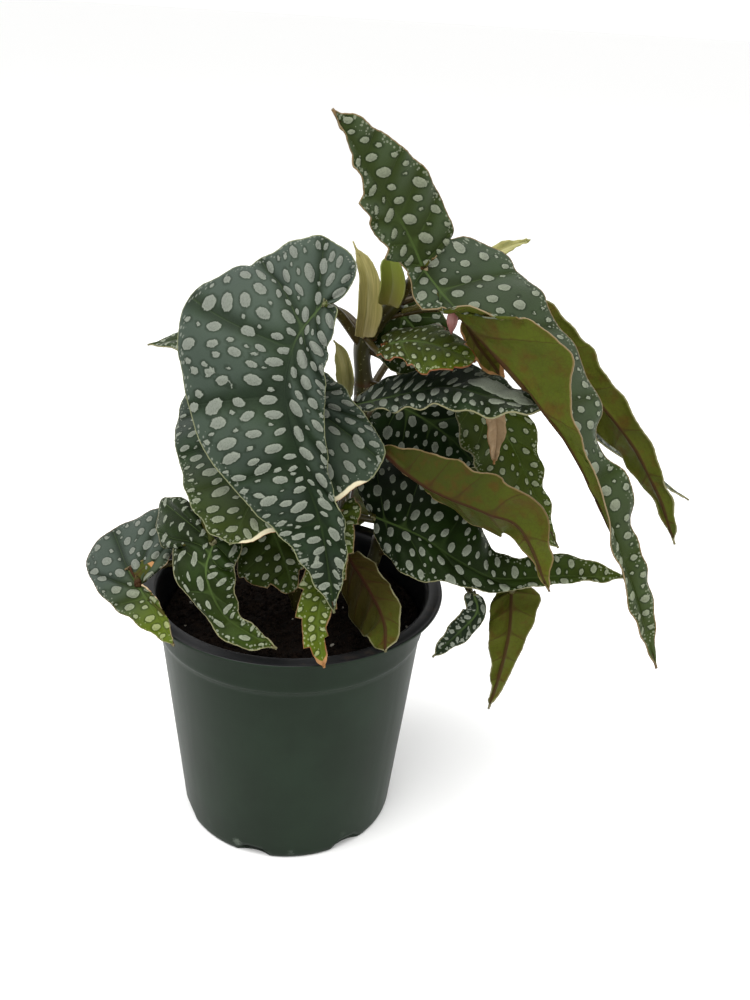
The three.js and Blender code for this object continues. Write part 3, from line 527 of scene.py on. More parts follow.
def thicken(piece, length, thick=1.5, thin=0.42):
    # the blade's thickness hangs below its upper face, with a keel under the midrib
    weights = piece.vertex_groups.new(name="rib")
    count = len(piece.data.vertices)
    place, bands = np.empty(count * 3), np.empty(count * 3)
    piece.data.attributes["place"].data.foreach_get("vector", place)
    piece.data.attributes["bands"].data.foreach_get("vector", bands)
    place, bands = place.reshape(-1, 3), bands.reshape(-1, 3)
    keel = ease(1 - np.abs(place[:, 1]) / 1.3) * (1 - np.clip(place[:, 0] / length, 0, 1) ** 1.3)
    offset = np.abs(bands[:, 0] % 1 - 0.5) * bands[:, 1]
    side = 0.28 * ease(1 - offset / 1.0) * np.clip(bands[:, 2] / 8, 0, 1)
    for level in range(1, 21):
        pick = np.nonzero(np.rint(np.maximum(keel, side) * 20) == level)[0]
        if len(pick):
            weights.add(pick.tolist(), level / 20, "REPLACE")
    solid = piece.modifiers.new("thickness", "SOLIDIFY")
    solid.thickness = thick * mm
    solid.offset = -1
    solid.vertex_group = "rib"
    solid.thickness_vertex_group = thin / thick
    solid.use_quality_normals = True
    solid.material_offset = 1
    solid.material_offset_rim = 2


def tubeMesh(name, line, radiusAt, sides, tone, lumps=None):
    # a round stem along evenly spaced points, closed at both ends
    steps = len(line) - 1
    t = np.linspace(0, 1, steps + 1)
    along = unit(np.gradient(line, axis=0))
    normal = np.cross(along[0], (0.3, 1.0, 0.1))
    normals = []
    for k in range(steps + 1):
        normal = unit(normal - normal.dot(along[k]) * along[k])
        normals.append(normal)
    normals = np.array(normals)
    binormals = np.cross(along, normals)
    angle = np.linspace(0, 2 * np.pi, sides + 1)[None, :, None]
    radius = np.broadcast_to(radiusAt(t)[:, None, None], (steps + 1, sides + 1, 1)).copy()
    if lumps is not None:
        radius += lumps(t[:, None, None], angle)
    ring = line[:, None] + radius * (np.cos(angle) * normals[:, None] + np.sin(angle) * binormals[:, None])
    first = np.broadcast_to(line[:1, None], (1, sides + 1, 3))
    last = np.broadcast_to(line[-1:, None], (1, sides + 1, 3))
    points = np.concatenate([first, ring, last], 0)
    colours = np.array([tone(np.array([x])) for x in np.concatenate([[0], t, [1]])])
    colours = np.broadcast_to(colours.reshape(-1, 1, 3), points.shape)
    mesh = gridMesh(name, steps + 2, sides, points, {"tone": np.ascontiguousarray(colours)})
    return faceOutwards(mesh)


def camel(node):
    words = node.split("_")
    return words[0] + "".join(w.capitalize() for w in words[1:])


# leaves: midrib points, the way the upper face looks, and both margins as (along, out), in mm
leafShapes = {
    "leaf_front_big": dict(
        spine=[(9, -16, 210), (1, -24, 199), (-1, -34, 183), (6, -44, 164), (13, -48, 145),
               (18, -50, 116)],
        heel=(15, -10, 219),
        face=[(-0.1, -0.7, 0.7), (-0.15, -0.85, 0.55), (0.05, -0.9, 0.45), (0.1, -0.9, 0.35)],
        left=[(-2, -3), (-8, -4.5), (-16.5, -2.5), (-19.5, 4), (-20, 11), (-17, 17.5), (-4, 28), (8, 37),
              (15, 43.5), (23, 40), (34, 33), (58, 22.5), (82, 11), (97, 5)],
        right=[(-1, 4.5), (1, 6.5), (7, 9), (20, 12), (33, 13), (44, 11.5), (65, 7), (80, 7.5),
               (96, 4.5)],
        width=(38, 16), fold=([8], [8]), curl=([-30], [-45]), wave=((5, 1, 0), (5, 1, 0)),
        stalk=dict(start=(22, 3, 191), via=(16, -2, 200), thick=1.8)),
    "leaf_front_shelf": dict(
        spine=[(1, -8, 175), (-4, -19, 163), (-10, -31, 150), (-17, -43, 135)], heel=(5, -2, 183),
        face=[(-0.2, -0.5, 0.8), (-0.3, -0.6, 0.75)],
        left=[(-7, 7), (-6, 24), (1, 43), (17, 46), (42, 28), (54, 11)],
        right=[(-11, 3), (-7, 18), (5, 31), (14, 37), (32, 28), (45, 16), (53, 6)], width=(36, 34),
        fold=([5], [5]), wave=((5, 1, 0.3), (5, 1, 0)),
        stalk=dict(start=(-13, -10, 132), via=(-12, 2, 152))),
    "leaf_front_claw": dict(
        spine=[(-25, -30, 128), (-26, -38, 120), (-18, -46, 109), (0, -54, 103)], heel=(-26, -22, 133),
        face=[(-0.2, -0.6, 0.7), (-0.3, -0.75, 0.5)],
        left=[(-17, 7), (-25, 22), (-11, 23), (9, 12), (21, 6), (36, 6)],
        right=[(-5, 5), (1, 10), (17, 9), (31, 4), (42, 2)], width=(18, 12), fold=([8], [8]),
        curl=([-30], [-30]), stalk=dict(start=(-9, -8, 123), via=(-12, -15, 128))),
    "leaf_left_torn": dict(
        spine=[(-57, -22, 112), (-50, -31, 108), (-42, -41, 103), (-35, -50, 99)], heel=(-62, -12, 114),
        face=[(-0.25, -0.45, 0.8), (-0.3, -0.5, 0.75), (-0.5, -0.5, 0.6)],
        left=[(1, -7), (8, -12), (-4, -21), (-22, -22), (-24, -12), (-24, 0), (-20, 10), (-14, 14),
              (0, 13), (11, 11), (22, 7), (30, 4)],
        right=[(7, 1), (11, 2), (17, 3), (24, 3), (31, 2)], width=(22, 8), fold=([0], [6]),
        curl=([-15], [-30]), wave=((6, 0.5, 0), (4, 0.3, 0)),
        stalk=dict(start=(-4, -4, 108), via=(-26, -8, 118))),
    "leaf_front_toothed": dict(
        spine=[(17, -28, 139), (15, -40, 126), (13, -51, 113), (16, -59, 100)], heel=(19, -24, 143),
        face=[(0, -0.8, 0.6), (0, -0.9, 0.4)],
        left=[(-2, 5), (10, 7), (24, 6.5), (36, 5), (43, 3), (48, 1)],
        right=[(-8, 1), (-7, 5), (6, 6), (24, 4.5), (33, 3.5), (39, 1.5), (47, 0.7)], width=(8, 8),
        fold=([8], [8]), teeth=((7, 2.4), (7, 1.8)), stalk=dict(start=(17, 6, 128), via=(18, -6, 142))),
    "leaf_front_shaded": dict(
        spine=[(-11, -14, 138), (-6, -22, 131), (-1, -27, 122), (3, -30, 111)], face=[(0, -0.6, 0.7)],
        left=[(-3, 6), (11, 13), (25, 15), (31, 6)], right=[(2, 6), (12, 9), (24, 7)], width=(16, 10),
        fold=([5], [5]), teeth=((6, 1.8), (5, 1)), stalk=dict(start=(-8, -7, 121), via=(-6, -10, 134))),
    "leaf_over_soil": dict(
        spine=[(21, -14, 118), (29, -26, 112), (35, -38, 106), (36, -46, 99)],
        face=[(0.2, 0.8, -0.1), (0.2, 0.8, -0.2)], left=[(3, 5), (17, 7), (28, 7), (36, 4)],
        right=[(2, 5), (7, 14), (19, 16), (36, 7)], width=(10, 14), fold=([8], [12]), curl=([15], [15]),
        stalk=dict(start=(15, 6, 108), via=(17, -3, 117))),
    "leaf_right_tailed": dict(
        spine=[(30, -8, 131), (46, -17, 129), (61, -22, 122), (75, -21, 116), (97, -20, 118),
               (120, -22, 120)],
        face=[(0.1, -0.75, 0.65), (0.1, -0.65, 0.75), (0.1, -0.6, 0.8)],
        left=[(5, 8), (22, 15), (35, 9), (51, 5), (70, 3), (86, 2)],
        right=[(-7, 3), (-16, 14), (-12, 27), (15, 27), (44, 13), (59, 8), (73, 9), (87, 5)],
        width=(14, 26), fold=([6], [5]), curl=([-25], [-25]),
        stalk=dict(start=(17, 7, 124), via=(22, 2, 127))),
    "leaf_right_drooping": dict(
        spine=[(30, -20, 163), (41, -30, 158), (51, -37, 155), (66, -43, 152), (77, -46, 148),
               (88, -48, 127)],
        face=[(0.2, 0.85, 0.35), (0.3, 0.8, 0.5)],
        left=[(4, 4), (22, 12), (38, 13), (51, 12), (60, 8), (72, 4)],
        right=[(5, 2), (20, 3), (34, 9), (48, 16), (62, 5), (72, 2)], width=(12, 18), fold=([20], [10]),
        curl=([10], [10]), wave=((6, 0.8, 0), (6, 0.8, 0)),
        stalk=dict(start=(21, 6, 155), via=(22, -4, 160))),
    "leaf_crest": dict(
        spine=[(40, -20, 224), (48, -30, 217), (61, -43, 207), (76, -54, 193), (87, -59, 180),
               (100, -60, 160), (112, -59, 136), (124, -58, 107)],
        heel=(37, -18, 228),
        face=[(0.2, -0.5, 0.8), (0.5, 0, 0.85), (0.58, 0.25, 0.75), (0.6, 0.1, 0.7), (0.5, -0.6, 0.45),
              (0.4, -0.8, 0.2), (0.3, -0.8, 0.2)],
        left=[(-1, 5.5), (3.5, 6.5), (9, 8.5), (14, 8.5), (19.5, 7), (23, 10.5), (26.5, 12), (31, 13.5),
              (35, 12), (39, 17.5), (44, 18.5), (49, 20), (55, 18), (62, 11), (70, 7), (78, 4), (88, 6),
              (96, 4.5), (106, 5.5), (118, 3.5), (130, 4.5), (148, 2)],
        right=[(-3.5, 3.5), (-5, 8.5), (-4.5, 15.5), (-3, 21.5), (2.5, 30.5), (17, 30.5), (27, 30),
               (40, 29), (50, 28.5), (70, 24), (77, 15.5), (85, 12.5), (98, 13.5), (109, 7), (126, 6.5),
               (149, 2.5)],
        width=(24, 26),
        fold=([0, -30, 30, 50, 52, 52, 50, 38, 25, 22, 20, 17, 15], [5, 40, 50, 45, 20, 10, 5]),
        curl=([-10, 10, 10, 10, 0, 0, 0], [-10]), wave=((8, 0.6, 0), (8, 0.8, 0)),
        stalk=dict(start=(32, -2, 208), via=(36, -7, 213), thick=1.8),
        wing=dict(
            spine=[(40, -20, 224), (34, -24, 236), (23, -33, 253), (11, -40, 271)], heel=(41, -19, 220),
            face=[(0.2, -0.9, 0.3), (0.3, -0.9, 0.3)],
            left=[(4, 11), (8, 14), (15, 14.5), (24, 15), (32, 13.5), (40, 11), (47, 8), (53, 5)],
            right=[(-4, 4.5), (2.5, 5), (6.5, 6.5), (10.5, 10), (14, 8), (18.5, 9), (25, 9), (27.5, 7.5),
                   (33, 8.5), (33.5, 5), (37, 3.5), (42.5, 4), (45, 1.5), (51, 0.8)],
            width=(14, 14), fold=([5], [5]), curl=([-5], [-5]))),
    "leaf_right_rear": dict(
        spine=[(70, 8, 209), (85, 11, 197), (101, 9, 180), (119, 3, 162), (132, -3, 142), (139, -6, 126)],
        face=[(0.35, 0.85, 0.35), (0.4, 0.8, 0.3)],
        left=[(-3, 8), (10, 9), (32, 10), (64, 7), (83, 5), (102, 3)],
        right=[(2, 7), (14, 11), (38, 15), (58, 12), (76, 8), (96, 3)], fold=([10], [10]),
        curl=([10], [10]), wave=((6, 1, 0), (6, 1, 0.3)),
        stalk=dict(start=(28, -1, 203), via=(42, 10, 222))),
    "leaf_centre_level": dict(
        spine=[(21, -10, 174), (36, -20, 182), (50, -30, 189), (63, -40, 190), (79, -52, 191)],
        face=[(0, -0.45, 0.9), (0.1, -0.45, 0.9)], left=[(1, 4), (9, 5), (28, 9), (56, 9), (69, 4)],
        right=[(-1, 5), (7, 11), (29, 15), (48, 11), (64, 6)], width=(12, 22), fold=([4], [4]),
        curl=([-15], [-15]), wave=((6, 0.8, 0), (6, 0.8, 0)),
        stalk=dict(start=(22, 5, 172), via=(20, -2, 174))),
    "leaf_centre_shaded": dict(
        spine=[(35, 16, 166), (47, 13, 161), (58, 10, 154), (66, 8, 146)], face=[(0, -0.7, 0.6)],
        left=[(-6, 6), (-3, 15), (12, 18), (28, 12)], right=[(2, 8), (10, 14), (20, 15), (30, 10)],
        width=(20, 20), stalk=dict(start=(21, 6, 157), via=(24, 13, 164))),
    "leaf_right_green": dict(
        spine=[(62, 2, 174), (74, -2, 163), (83, -8, 149), (90, -12, 136), (95, -16, 127)],
        face=[(0.4, -0.5, 0.7), (0.5, -0.5, 0.5)], left=[(-2, 12), (9, 21), (37, 20), (54, 9)],
        right=[(4, 9), (16, 13), (33, 7), (50, 3)], fold=([20], [20]), wave=((6, 1, 0), (5, 1, 0.3)),
        stalk=dict(start=(22, 3, 191), via=(40, 6, 183))),
    "leaf_centre_rear": dict(
        spine=[(30, 8, 206), (38, 6, 199), (47, 2, 190), (56, -2, 180)], face=[(0, -0.8, 0.6)],
        left=[(-3, 7), (5, 14), (17, 16), (31, 9)], right=[(1, 7), (10, 12), (21, 10), (31, 6)],
        width=(16, 12), stalk=dict(start=(23, 4, 180), via=(24, 12, 192))),
    "leaf_hanging": dict(
        spine=[(82, -8, 104), (82, -14, 91), (80, -18, 76), (77, -20, 59)], face=[(0.1, 0.9, 0.2)],
        left=[(-3, 6), (3, 11), (14, 8), (27, 5), (38, 3)], right=[(-1, 5), (8, 8), (20, 7), (33, 3)],
        width=(11, 8), fold=([10], [10]), curl=([10], [10]),
        stalk=dict(start=(32, 9, 114), via=(56, 8, 122), thick=1.3)),
    "leaf_back_left": dict(
        spine=[(-7, 26, 161), (-18, 40, 141), (-25, 52, 122), (-28, 62, 103)],
        face=[(-0.3, 0.7, 0.6), (-0.3, 0.9, 0.2)], left=[(0, 9), (20, 21), (48, 17), (66, 8)],
        right=[(-8, 9), (5, 17), (34, 18), (58, 9)], width=(20, 20),
        stalk=dict(start=(20, 6, 155), via=(11, 14, 167))),
    "leaf_back_right": dict(
        spine=[(58, 32, 153), (70, 42, 139), (80, 49, 121), (88, 54, 99)],
        face=[(0.3, 0.6, 0.7), (0.3, 0.9, 0.3)], left=[(-8, 8), (2, 17), (34, 16), (56, 8)],
        right=[(-4, 8), (12, 18), (40, 18), (60, 9)], width=(18, 18),
        stalk=dict(start=(41, 12, 146), via=(46, 18, 156))),
    "leaf_back_low": dict(
        spine=[(23, 30, 133), (21, 50, 121), (19, 64, 104), (18, 72, 84)],
        face=[(0, 0.5, 0.85), (0, 0.9, 0.4)], left=[(-8, 7), (9, 17), (38, 18), (58, 8)],
        right=[(-9, 7), (8, 15), (38, 17), (58, 8)], width=(18, 18),
        stalk=dict(start=(18, 7, 136), via=(20, 16, 142))),
    "leaf_back_upper": dict(
        spine=[(40, 32, 190), (44, 46, 178), (47, 56, 161), (49, 62, 141)],
        face=[(0.2, 0.4, 0.9), (0.2, 0.9, 0.4)], left=[(-7, 7), (6, 15), (30, 14), (48, 6)],
        right=[(-6, 6), (6, 13), (30, 13), (46, 6)], wave=faintWave,
        stalk=dict(start=(23, 5, 168), via=(30, 26, 180))),
    "leaf_rear_left": dict(
        spine=[(-2, 22, 201), (-21, 30, 191), (-40, 36, 182), (-61, 40, 175)],
        face=[(-0.1, -0.2, 0.95), (-0.3, -0.2, 0.9)], left=[(-3, 6), (8, 12), (28, 13), (50, 9)],
        right=[(-3, 6), (8, 12), (28, 13), (50, 9)], wave=faintWave,
        stalk=dict(start=(23, 2, 194), via=(12, 16, 206))),
    "leaf_rear_right": dict(
        spine=[(72, 26, 188), (96, 24, 169), (120, 20, 151), (148, 16, 134)],
        face=[(0.3, 0.1, 0.9), (0.4, 0.1, 0.9)], left=[(-4, 7), (18, 13), (55, 11), (78, 4)],
        right=[(-4, 7), (18, 13), (55, 11), (78, 4)], wave=faintWave,
        stalk=dict(start=(43, 13, 151), via=(43, 34, 172))),
    "leaf_small_twisted": dict(
        spine=[(67, -14, 106), (69, -16, 99), (63, -18, 91), (54, -20, 81)], face=[(0.3, -0.8, 0.4)],
        left=[(1, 4), (15, 5), (25, 3)], right=[(4, 3), (9, 4), (21, 4)], width=(6, 5), wave=faintWave,
        rib=0.4, stalk=dict(start=(31, 8, 108), via=(50, 2, 118), thick=1.2)),
    "leaf_young_olive": dict(
        spine=[(30, -14, 197), (39, -22, 201), (49, -28, 201), (58, -34, 199)], face=[(0, -0.4, 0.9)],
        left=[(3, 7), (16, 10), (23, 12), (30, 8)], right=[(-6, 8), (5, 13), (24, 7)], width=(8, 8),
        fold=([10], [10]), wave=faintWave, teeth=((6, 1.4), (6, 1.4)),
        stalk=dict(start=(23, 2, 195), via=(24, -6, 194), thick=1.2)),
    "leaf_young_brown": dict(
        spine=[(55, -8, 206), (60, -14, 199), (65, -18, 194), (69, -20, 189)], face=[(0.3, 0.9, 0.1)],
        left=[(2, 4), (13, 6), (20, 4)], right=[(3, 4), (10, 5), (20, 4)], width=(6, 6),
        fold=([15], [15]), curl=([0], [0]), wave=faintWave, rib=0.3,
        stalk=dict(start=(30, -1, 203), via=(44, -5, 208), thick=1.1)),
    "leaf_young_pale": dict(
        spine=[(60, 4, 222), (68, 6, 227), (76, 6, 230)], face=[(0, -0.9, 0.4)], left=[(3, 2.4), (11, 2)],
        right=[(3, 2.4), (11, 2.2)], width=(4, 4), fold=([20], [20]), curl=([0], [0]), wave=faintWave,
        rib=0.3, stalk=dict(start=(32, -1, 207), via=(46, -6, 214), thick=1.1)),
    "leaf_young_hanging": dict(
        spine=[(66, -22, 181), (68, -24, 173), (68, -26, 162)], face=[(0.3, -0.9, 0.1)],
        left=[(2, 4), (11, 4)], right=[(3, 3), (10, 3)], width=(4, 4), fold=([25], [25]), curl=([0], [0]),
        wave=faintWave, rib=0.3, stalk=dict(start=(23, 5, 177), via=(42, -8, 179), thick=1.1)),
}

# how each leaf is coloured along its length, blue being the share of painted grey sheen; sizes in mm, shares
# from 0 to 1
leafLooks = {
    "leaf_front_big": dict(
        size=3.7, small=0.28, gap=1.7, blue=[0.95, 0.75, 0.3, 0.1], veins=8, stretch=1.7, rust=[0.0],
        quilt=1.5),
    "leaf_front_shelf": dict(
        size=3.8, gap=2.4, blue=[0.7, 0.4, 0.1], yellow=[0.0, 0.0, 0.3], rust=[0.0], stretch=1.6,
        torn=[(1, 0.56, 0.98, 1.6)]),
    "leaf_front_claw": dict(
        size=2.6, small=0.3, gap=3.0, stretch=1.7, turn=70, yellow=[0.05, 0.1, 0.3], veins=8, blue=[0.0],
        quilt=1.6),
    "leaf_left_torn": dict(
        size=3.4, gap=2.6, blue=[0.85, 0.4, 0.0], yellow=[0.0, 0.2, 0.8, 0.9], rust=[0.5, 0.3], sink=3.4,
        torn=[(0, 0.04, 0.13, 2.2), (1, 0.25, 0.5, 1.2)]),
    "leaf_front_toothed": dict(
        size=2.4, gap=1.6, yellow=[0.4, 0.5, 0.8], dryTip=2.0, rust=[0.5, 0.5, 1.0], blue=[0.0]),
    "leaf_front_shaded": dict(size=2.6, gap=3.0, yellow=[0.1, 0.15, 0.2], blue=[0.0], rust=[0.5]),
    "leaf_over_soil": dict(size=3.0, under=[0.0, 0.1, 0.5], red=[0.35, 0.25, 0.0]),
    "leaf_right_tailed": dict(size=3.3, gap=2.6, yellow=[0.0, 0.05, 0.35], blue=[0.0], stretch=1.4),
    "leaf_right_drooping": dict(
        size=3.6, under=[0.1, 0.2, 0.8], red=[0.1, 0.0], yellow=[0.0, 0.2, 0.8], rust=[0.5], quilt=0.8),
    "leaf_crest": dict(
        size=3.6, small=0.25, gap=3.4, under=[0.35, 0.5, 0.45, 0.2], blue=[0.5, 0.3],
        yellow=[0.1, 0.15, 0.3], rust=[0.5], stretch=1.15, blister=0.4,
        wing=dict(size=3.4, gap=3.4, turn=70, blue=[0.55], yellow=[0.2], stretch=1.4)),
    "leaf_right_rear": dict(size=4.0, under=[0.6, 0.5, 0.4], red=[0.0, 0.1, 0.0]),
    "leaf_centre_level": dict(
        size=3.4, gap=2.2, blue=[0.3, 0.1], yellow=[0.0, 0.0, 0.1], stretch=1.6,
        patches=[(1, 48, 5, 3.0), (1, 54, 4.5, 3.4), (1, 60, 3, 3.0), (1, 66, 1.5, 2.0),
                 (0, 58, 1.5, 1.8), (0, 64, 1.2, 1.6)]),
    "leaf_centre_shaded": dict(size=3.4, gap=2.4, blue=[0.05]),
    "leaf_right_green": dict(size=2.6, gap=3.4, yellow=[0.3, 0.35, 0.5], blue=[0.0]),
    "leaf_centre_rear": dict(size=3.2, gap=2.4, yellow=[0.1], blue=[0.0]),
    "leaf_hanging": dict(size=3.0, under=[0.5, 0.6, 0.7], red=[0.1, 0.05]),
    "leaf_rear_left": dict(size=3.6, yellow=[0.1]),
    "leaf_rear_right": dict(size=3.6, yellow=[0.1]),
    "leaf_small_twisted": dict(size=2.4, gap=1.0, blue=[0.3]),
    "leaf_young_olive": dict(
        size=1.7, gap=2.4, yellow=[0.2, 0.35, 0.7], red=[0.1, 0.0], under=[0.6], rust=[1.0], blue=[0.0],
        slot="young_leaf"),
    "leaf_young_brown": dict(
        size=0, dry=1.5, yellow=[0.8], red=[0.4, 0.3, 0.1], under=[0.8], rust=[0.6], slot="brown_leaf"),
    "leaf_young_hanging": dict(
        size=0, dry=9.0, yellow=[1.0], red=[0.3], under=[1.0], rust=[0.6], slot="brown_leaf"),
    "leaf_young_pale": dict(size=0, papery=True, yellow=[0.2], under=[1.0], slot="young_leaf"),
}


stalkTint = dict(olive=0.2, red=0.35)
wingNumber = 30  # a wing's own random draw is its leaf's number plus this


def makeLeaf(node, given, number):
    leaf = {**plain, **given}
    look = {**plainLook, **leafLooks.get(node, {})}
    blades = [("Blade", leaf, look)]
    if "wing" in leaf:
        blades.append(("Wing", {**plain, **leaf["wing"]}, {**look, **look.get("wing", {})}))
    for part, shape, bladeLook in blades:
        mesh, length = bladeMesh(camel(node) + part, shape, bladeLook, number + wingNumber * (part == "Wing"))
        skins = [paperyBract] * 3 if look.get("papery") else [satinCuticle, underside, rustyMargin]
        piece = finish(camel(node) + part, mesh, skins, node)
        thicken(piece, length, thick=0.8 + shape.get("rib", 0.8))
    length, frameAt = midribOf(leaf)
    origin, along, up, _ = [x[0] for x in frameAt(np.array([0.0]))]
    stalk = leaf["stalk"]
    start, rise = np.array(stalk["start"], float), np.array(stalk["via"], float)
    end = origin - look["sink"] * up
    reach = np.linalg.norm(end - start)
    arrive = end - 0.21 * reach * up - 0.17 * reach * along
    steps = max(24, int(reach / 0.9))
    t = np.linspace(0, 1, steps + 1)[:, None]
    line = start * (1 - t) ** 3 + 3 * rise * t * (1 - t) ** 2 + 3 * arrive * t * t * (1 - t) + end * t ** 3
    thick = stalk.get("thick", 1.5)

    def radiusAt(x):
        # swollen where it leaves the cane and where it joins the blade
        return thick * (1 - 0.2 * x + 0.25 * np.exp(-((x - 0.97) / 0.05) ** 2)
                        + 0.2 * np.exp(-(x / 0.06) ** 2))

    mesh = tubeMesh(camel(node) + "Stalk", line, radiusAt, 14,
                    lambda x: np.array([stalkTint["olive"], stalkTint["red"] * (1 - 0.5 * x[0]), 0.0]))
    finish(camel(node) + "Stalk", mesh, [caneSkin], node)


for number, (node, given) in enumerate(leafShapes.items()):
    makeLeaf(node, given, number)
print("leaves made:", len(leafShapes))


# canes

caneShapes = {
    "cane_tall": dict(
        points=[(13, 5, 58), (13, 5, 88), (16, 7, 122), (20, 6, 155), (23, 5, 174), (22, 3, 191),
                (27, 0, 201), (33, -3, 209)],
        radius=3.3, nodes=(0.42, 0.62, 0.76, 0.88)),
    "cane_left": dict(
        points=[(3, 0, 62), (2, 0, 88), (-3, -4, 105), (-9, -8, 123), (-13, -10, 133)], radius=2.6,
        nodes=(0.6,)),
    "cane_right": dict(
        points=[(24, 5, 62), (25, 5, 88), (30, 8, 105), (35, 10, 124), (40, 12, 142), (44, 13, 154)],
        radius=2.8, nodes=(0.55, 0.8)),
}
for node, cane in caneShapes.items():
    line, run = smoothLine(cane["points"], 140)
    swell = lambda t, c=cane: sum(np.exp(-((t - n) / 0.025) ** 2) for n in c["nodes"])
    scar = lambda t, c=cane: sum(np.exp(-((t - n - 0.012) / 0.004) ** 2) for n in c["nodes"])
    mesh = tubeMesh(camel(node), line,
                    lambda t, c=cane: c["radius"] * (1 - 0.14 * t) + 0.5 * swell(t) + 0.25 * scar(t), 28,
                    lambda t, c=cane: np.array([0.15, float(0.5 * scar(t)[0] + 0.15), 0.0]),
                    lambda t, angle: 0.08 * np.sin(3 * angle + 9 * t) + 0.05 * np.sin(7 * angle - 23 * t))
    finish(camel(node), mesh, [caneSkin], node)
print("canes made")


# sheaths that clasped the youngest leaves

sheathPlain = dict(fold=([25], [25]), curl=([40], [40]), width=(5, 5), wave=((0, 0, 0), (0, 0, 0)),
                   teeth=((0, 0), (0, 0)))
sheathShapes = {
    "sheath_tall": dict(
        spine=[(22, -3, 196), (23, -5, 207), (22, -5, 218), (17, -2, 228)], face=[(0.2, -0.9, 0.2)],
        left=[(3, 5), (12, 6.5), (22, 4.5), (29, 1.5)], right=[(3, 5), (12, 6.5), (20, 4.5), (28, 1.5)]),
    "sheath_yellow": dict(
        spine=[(30, -8, 209), (31, -10, 217), (29, -9, 226)], face=[(0, -1, 0.1)],
        left=[(2, 5), (8, 6.5), (14, 4)], right=[(2, 5), (8, 6.5), (14, 4)]),
    "sheath_low": dict(
        spine=[(18, 0, 172), (17.5, -2, 182), (15.5, -3, 190), (12, -4, 195)], face=[(-0.3, -0.9, 0.1)],
        left=[(5, 3), (11, 4.5), (18, 3)], right=[(5, 3), (11, 4.5), (18, 3)]),
}
sheathLooks = {"sheath_tall": dict(red=[0.3, 0.1, 0.05, 0.1]),
               "sheath_yellow": dict(yellow=[0.9], red=[0.5, 0.0]), "sheath_low": dict(yellow=[0.1])}
for number, (node, given) in enumerate(sheathShapes.items()):
    look = {**plainLook, "size": 0, "quilt": 0, **sheathLooks[node]}
    mesh, length = bladeMesh(camel(node), {**sheathPlain, **given}, look, 60 + number, 0.5)
    piece = finish(camel(node), mesh, [paperyBract] * 3, node)
    thicken(piece, length, 0.5, 0.4)
print("sheaths made")


# flower bud on its stalk

bud = dict(path=[(35, -4, 206), (42, -12, 211), (47, -19, 216), (50.5, -21.6, 213.2)], length=9, radius=1.9)
line, run = smoothLine(bud["path"], 40)
mesh = tubeMesh("flowerStalk", line, lambda t: 0.9 - 0.2 * t + 0.25 * np.exp(-((t - 1) / 0.05) ** 2), 12,
                lambda t: np.array([0.5, 0.25, 0.0]))
finish("flowerStalk", mesh, [caneSkin], "flower_stalk")


budFinish = dict(vein="#87504b", petal="#ad7972", nerveSize=0.8, nervePull=0.12, roughness=0.45,
                 glow=0.2, glowDepth=(2 * mm, mm, 0.7 * mm))


def budMaterial():
    # waxy petals: pink with fine lengthwise veins, and a soft glow under the skin
    material, skin, node = newMaterial("waxyPinkPetal")
    c = budFinish
    pulled = node("stretch", millimetres(node), (1.0, 1.0, c["nervePull"]))
    nerves = node("noise", pulled, 1 / c["nerveSize"], 3.0, 0.6)
    feed(material, skin, {"Base Color": node("mix", nerves, c["vein"], c["petal"]),
                          "Roughness": c["roughness"], "Subsurface Weight": c["glow"],
                          "Subsurface Radius": c["glowDepth"]})
    return material


def budMesh():
    # two petals pressed together: a teardrop, flattened, with a seam down each narrow side
    x, y, z = bud["path"][-1]
    t = np.linspace(0, 1, 31)[:, None]
    angle = np.linspace(0, 2 * np.pi, 33)[None, :]
    radius = bud["radius"] * np.sin(np.pi * t ** 0.85)
    seam = 1 - 0.12 * np.exp(-(np.sin(angle) / 0.16) ** 2)
    points = np.stack([x + radius * seam * np.cos(angle), y + 0.8 * radius * seam * np.sin(angle),
                       z - 0.3 - bud["length"] * t * (1 + 0 * angle)], -1)
    return faceOutwards(gridMesh("flowerBud", 30, 32, points, {}))


finish("flowerBud", budMesh(), [budMaterial()], "flower_bud")
print("flower bud made")


# nursery pot

potShape = dict(height=98, lip=57, lipHeight=16, flare=7.2, wall=1.0, base=98 * 0.4275, notches=7,
                firstNotch=-103, notchRadius=14, notchReach=11, notchSquash=0.5,
                flareLine=[(0.5, 0.35), (0.75, 1.2), (0.9, 6), (1.4, 12), (2.4, 14.8), (4.4, 15.3)])
potFinish = dict(green="#101b10", light="#162317", streak="#1f2c20", mark="#5c645a", black="#0a0b0d",
                 soilDust="#3a3028", cloudSize=30.0, fineSize=0.7, streakSize=4.0, streakPull=0.05,
                 marksPerMm=0.07, marksUpTo=14.0, insideFineSize=1.4, dustSize=6.0, relief=0.2 * mm,
                 gloss=(0.36, 0.48), insideGloss=(0.3, 0.45), ior=1.2, insideIor=1.33)


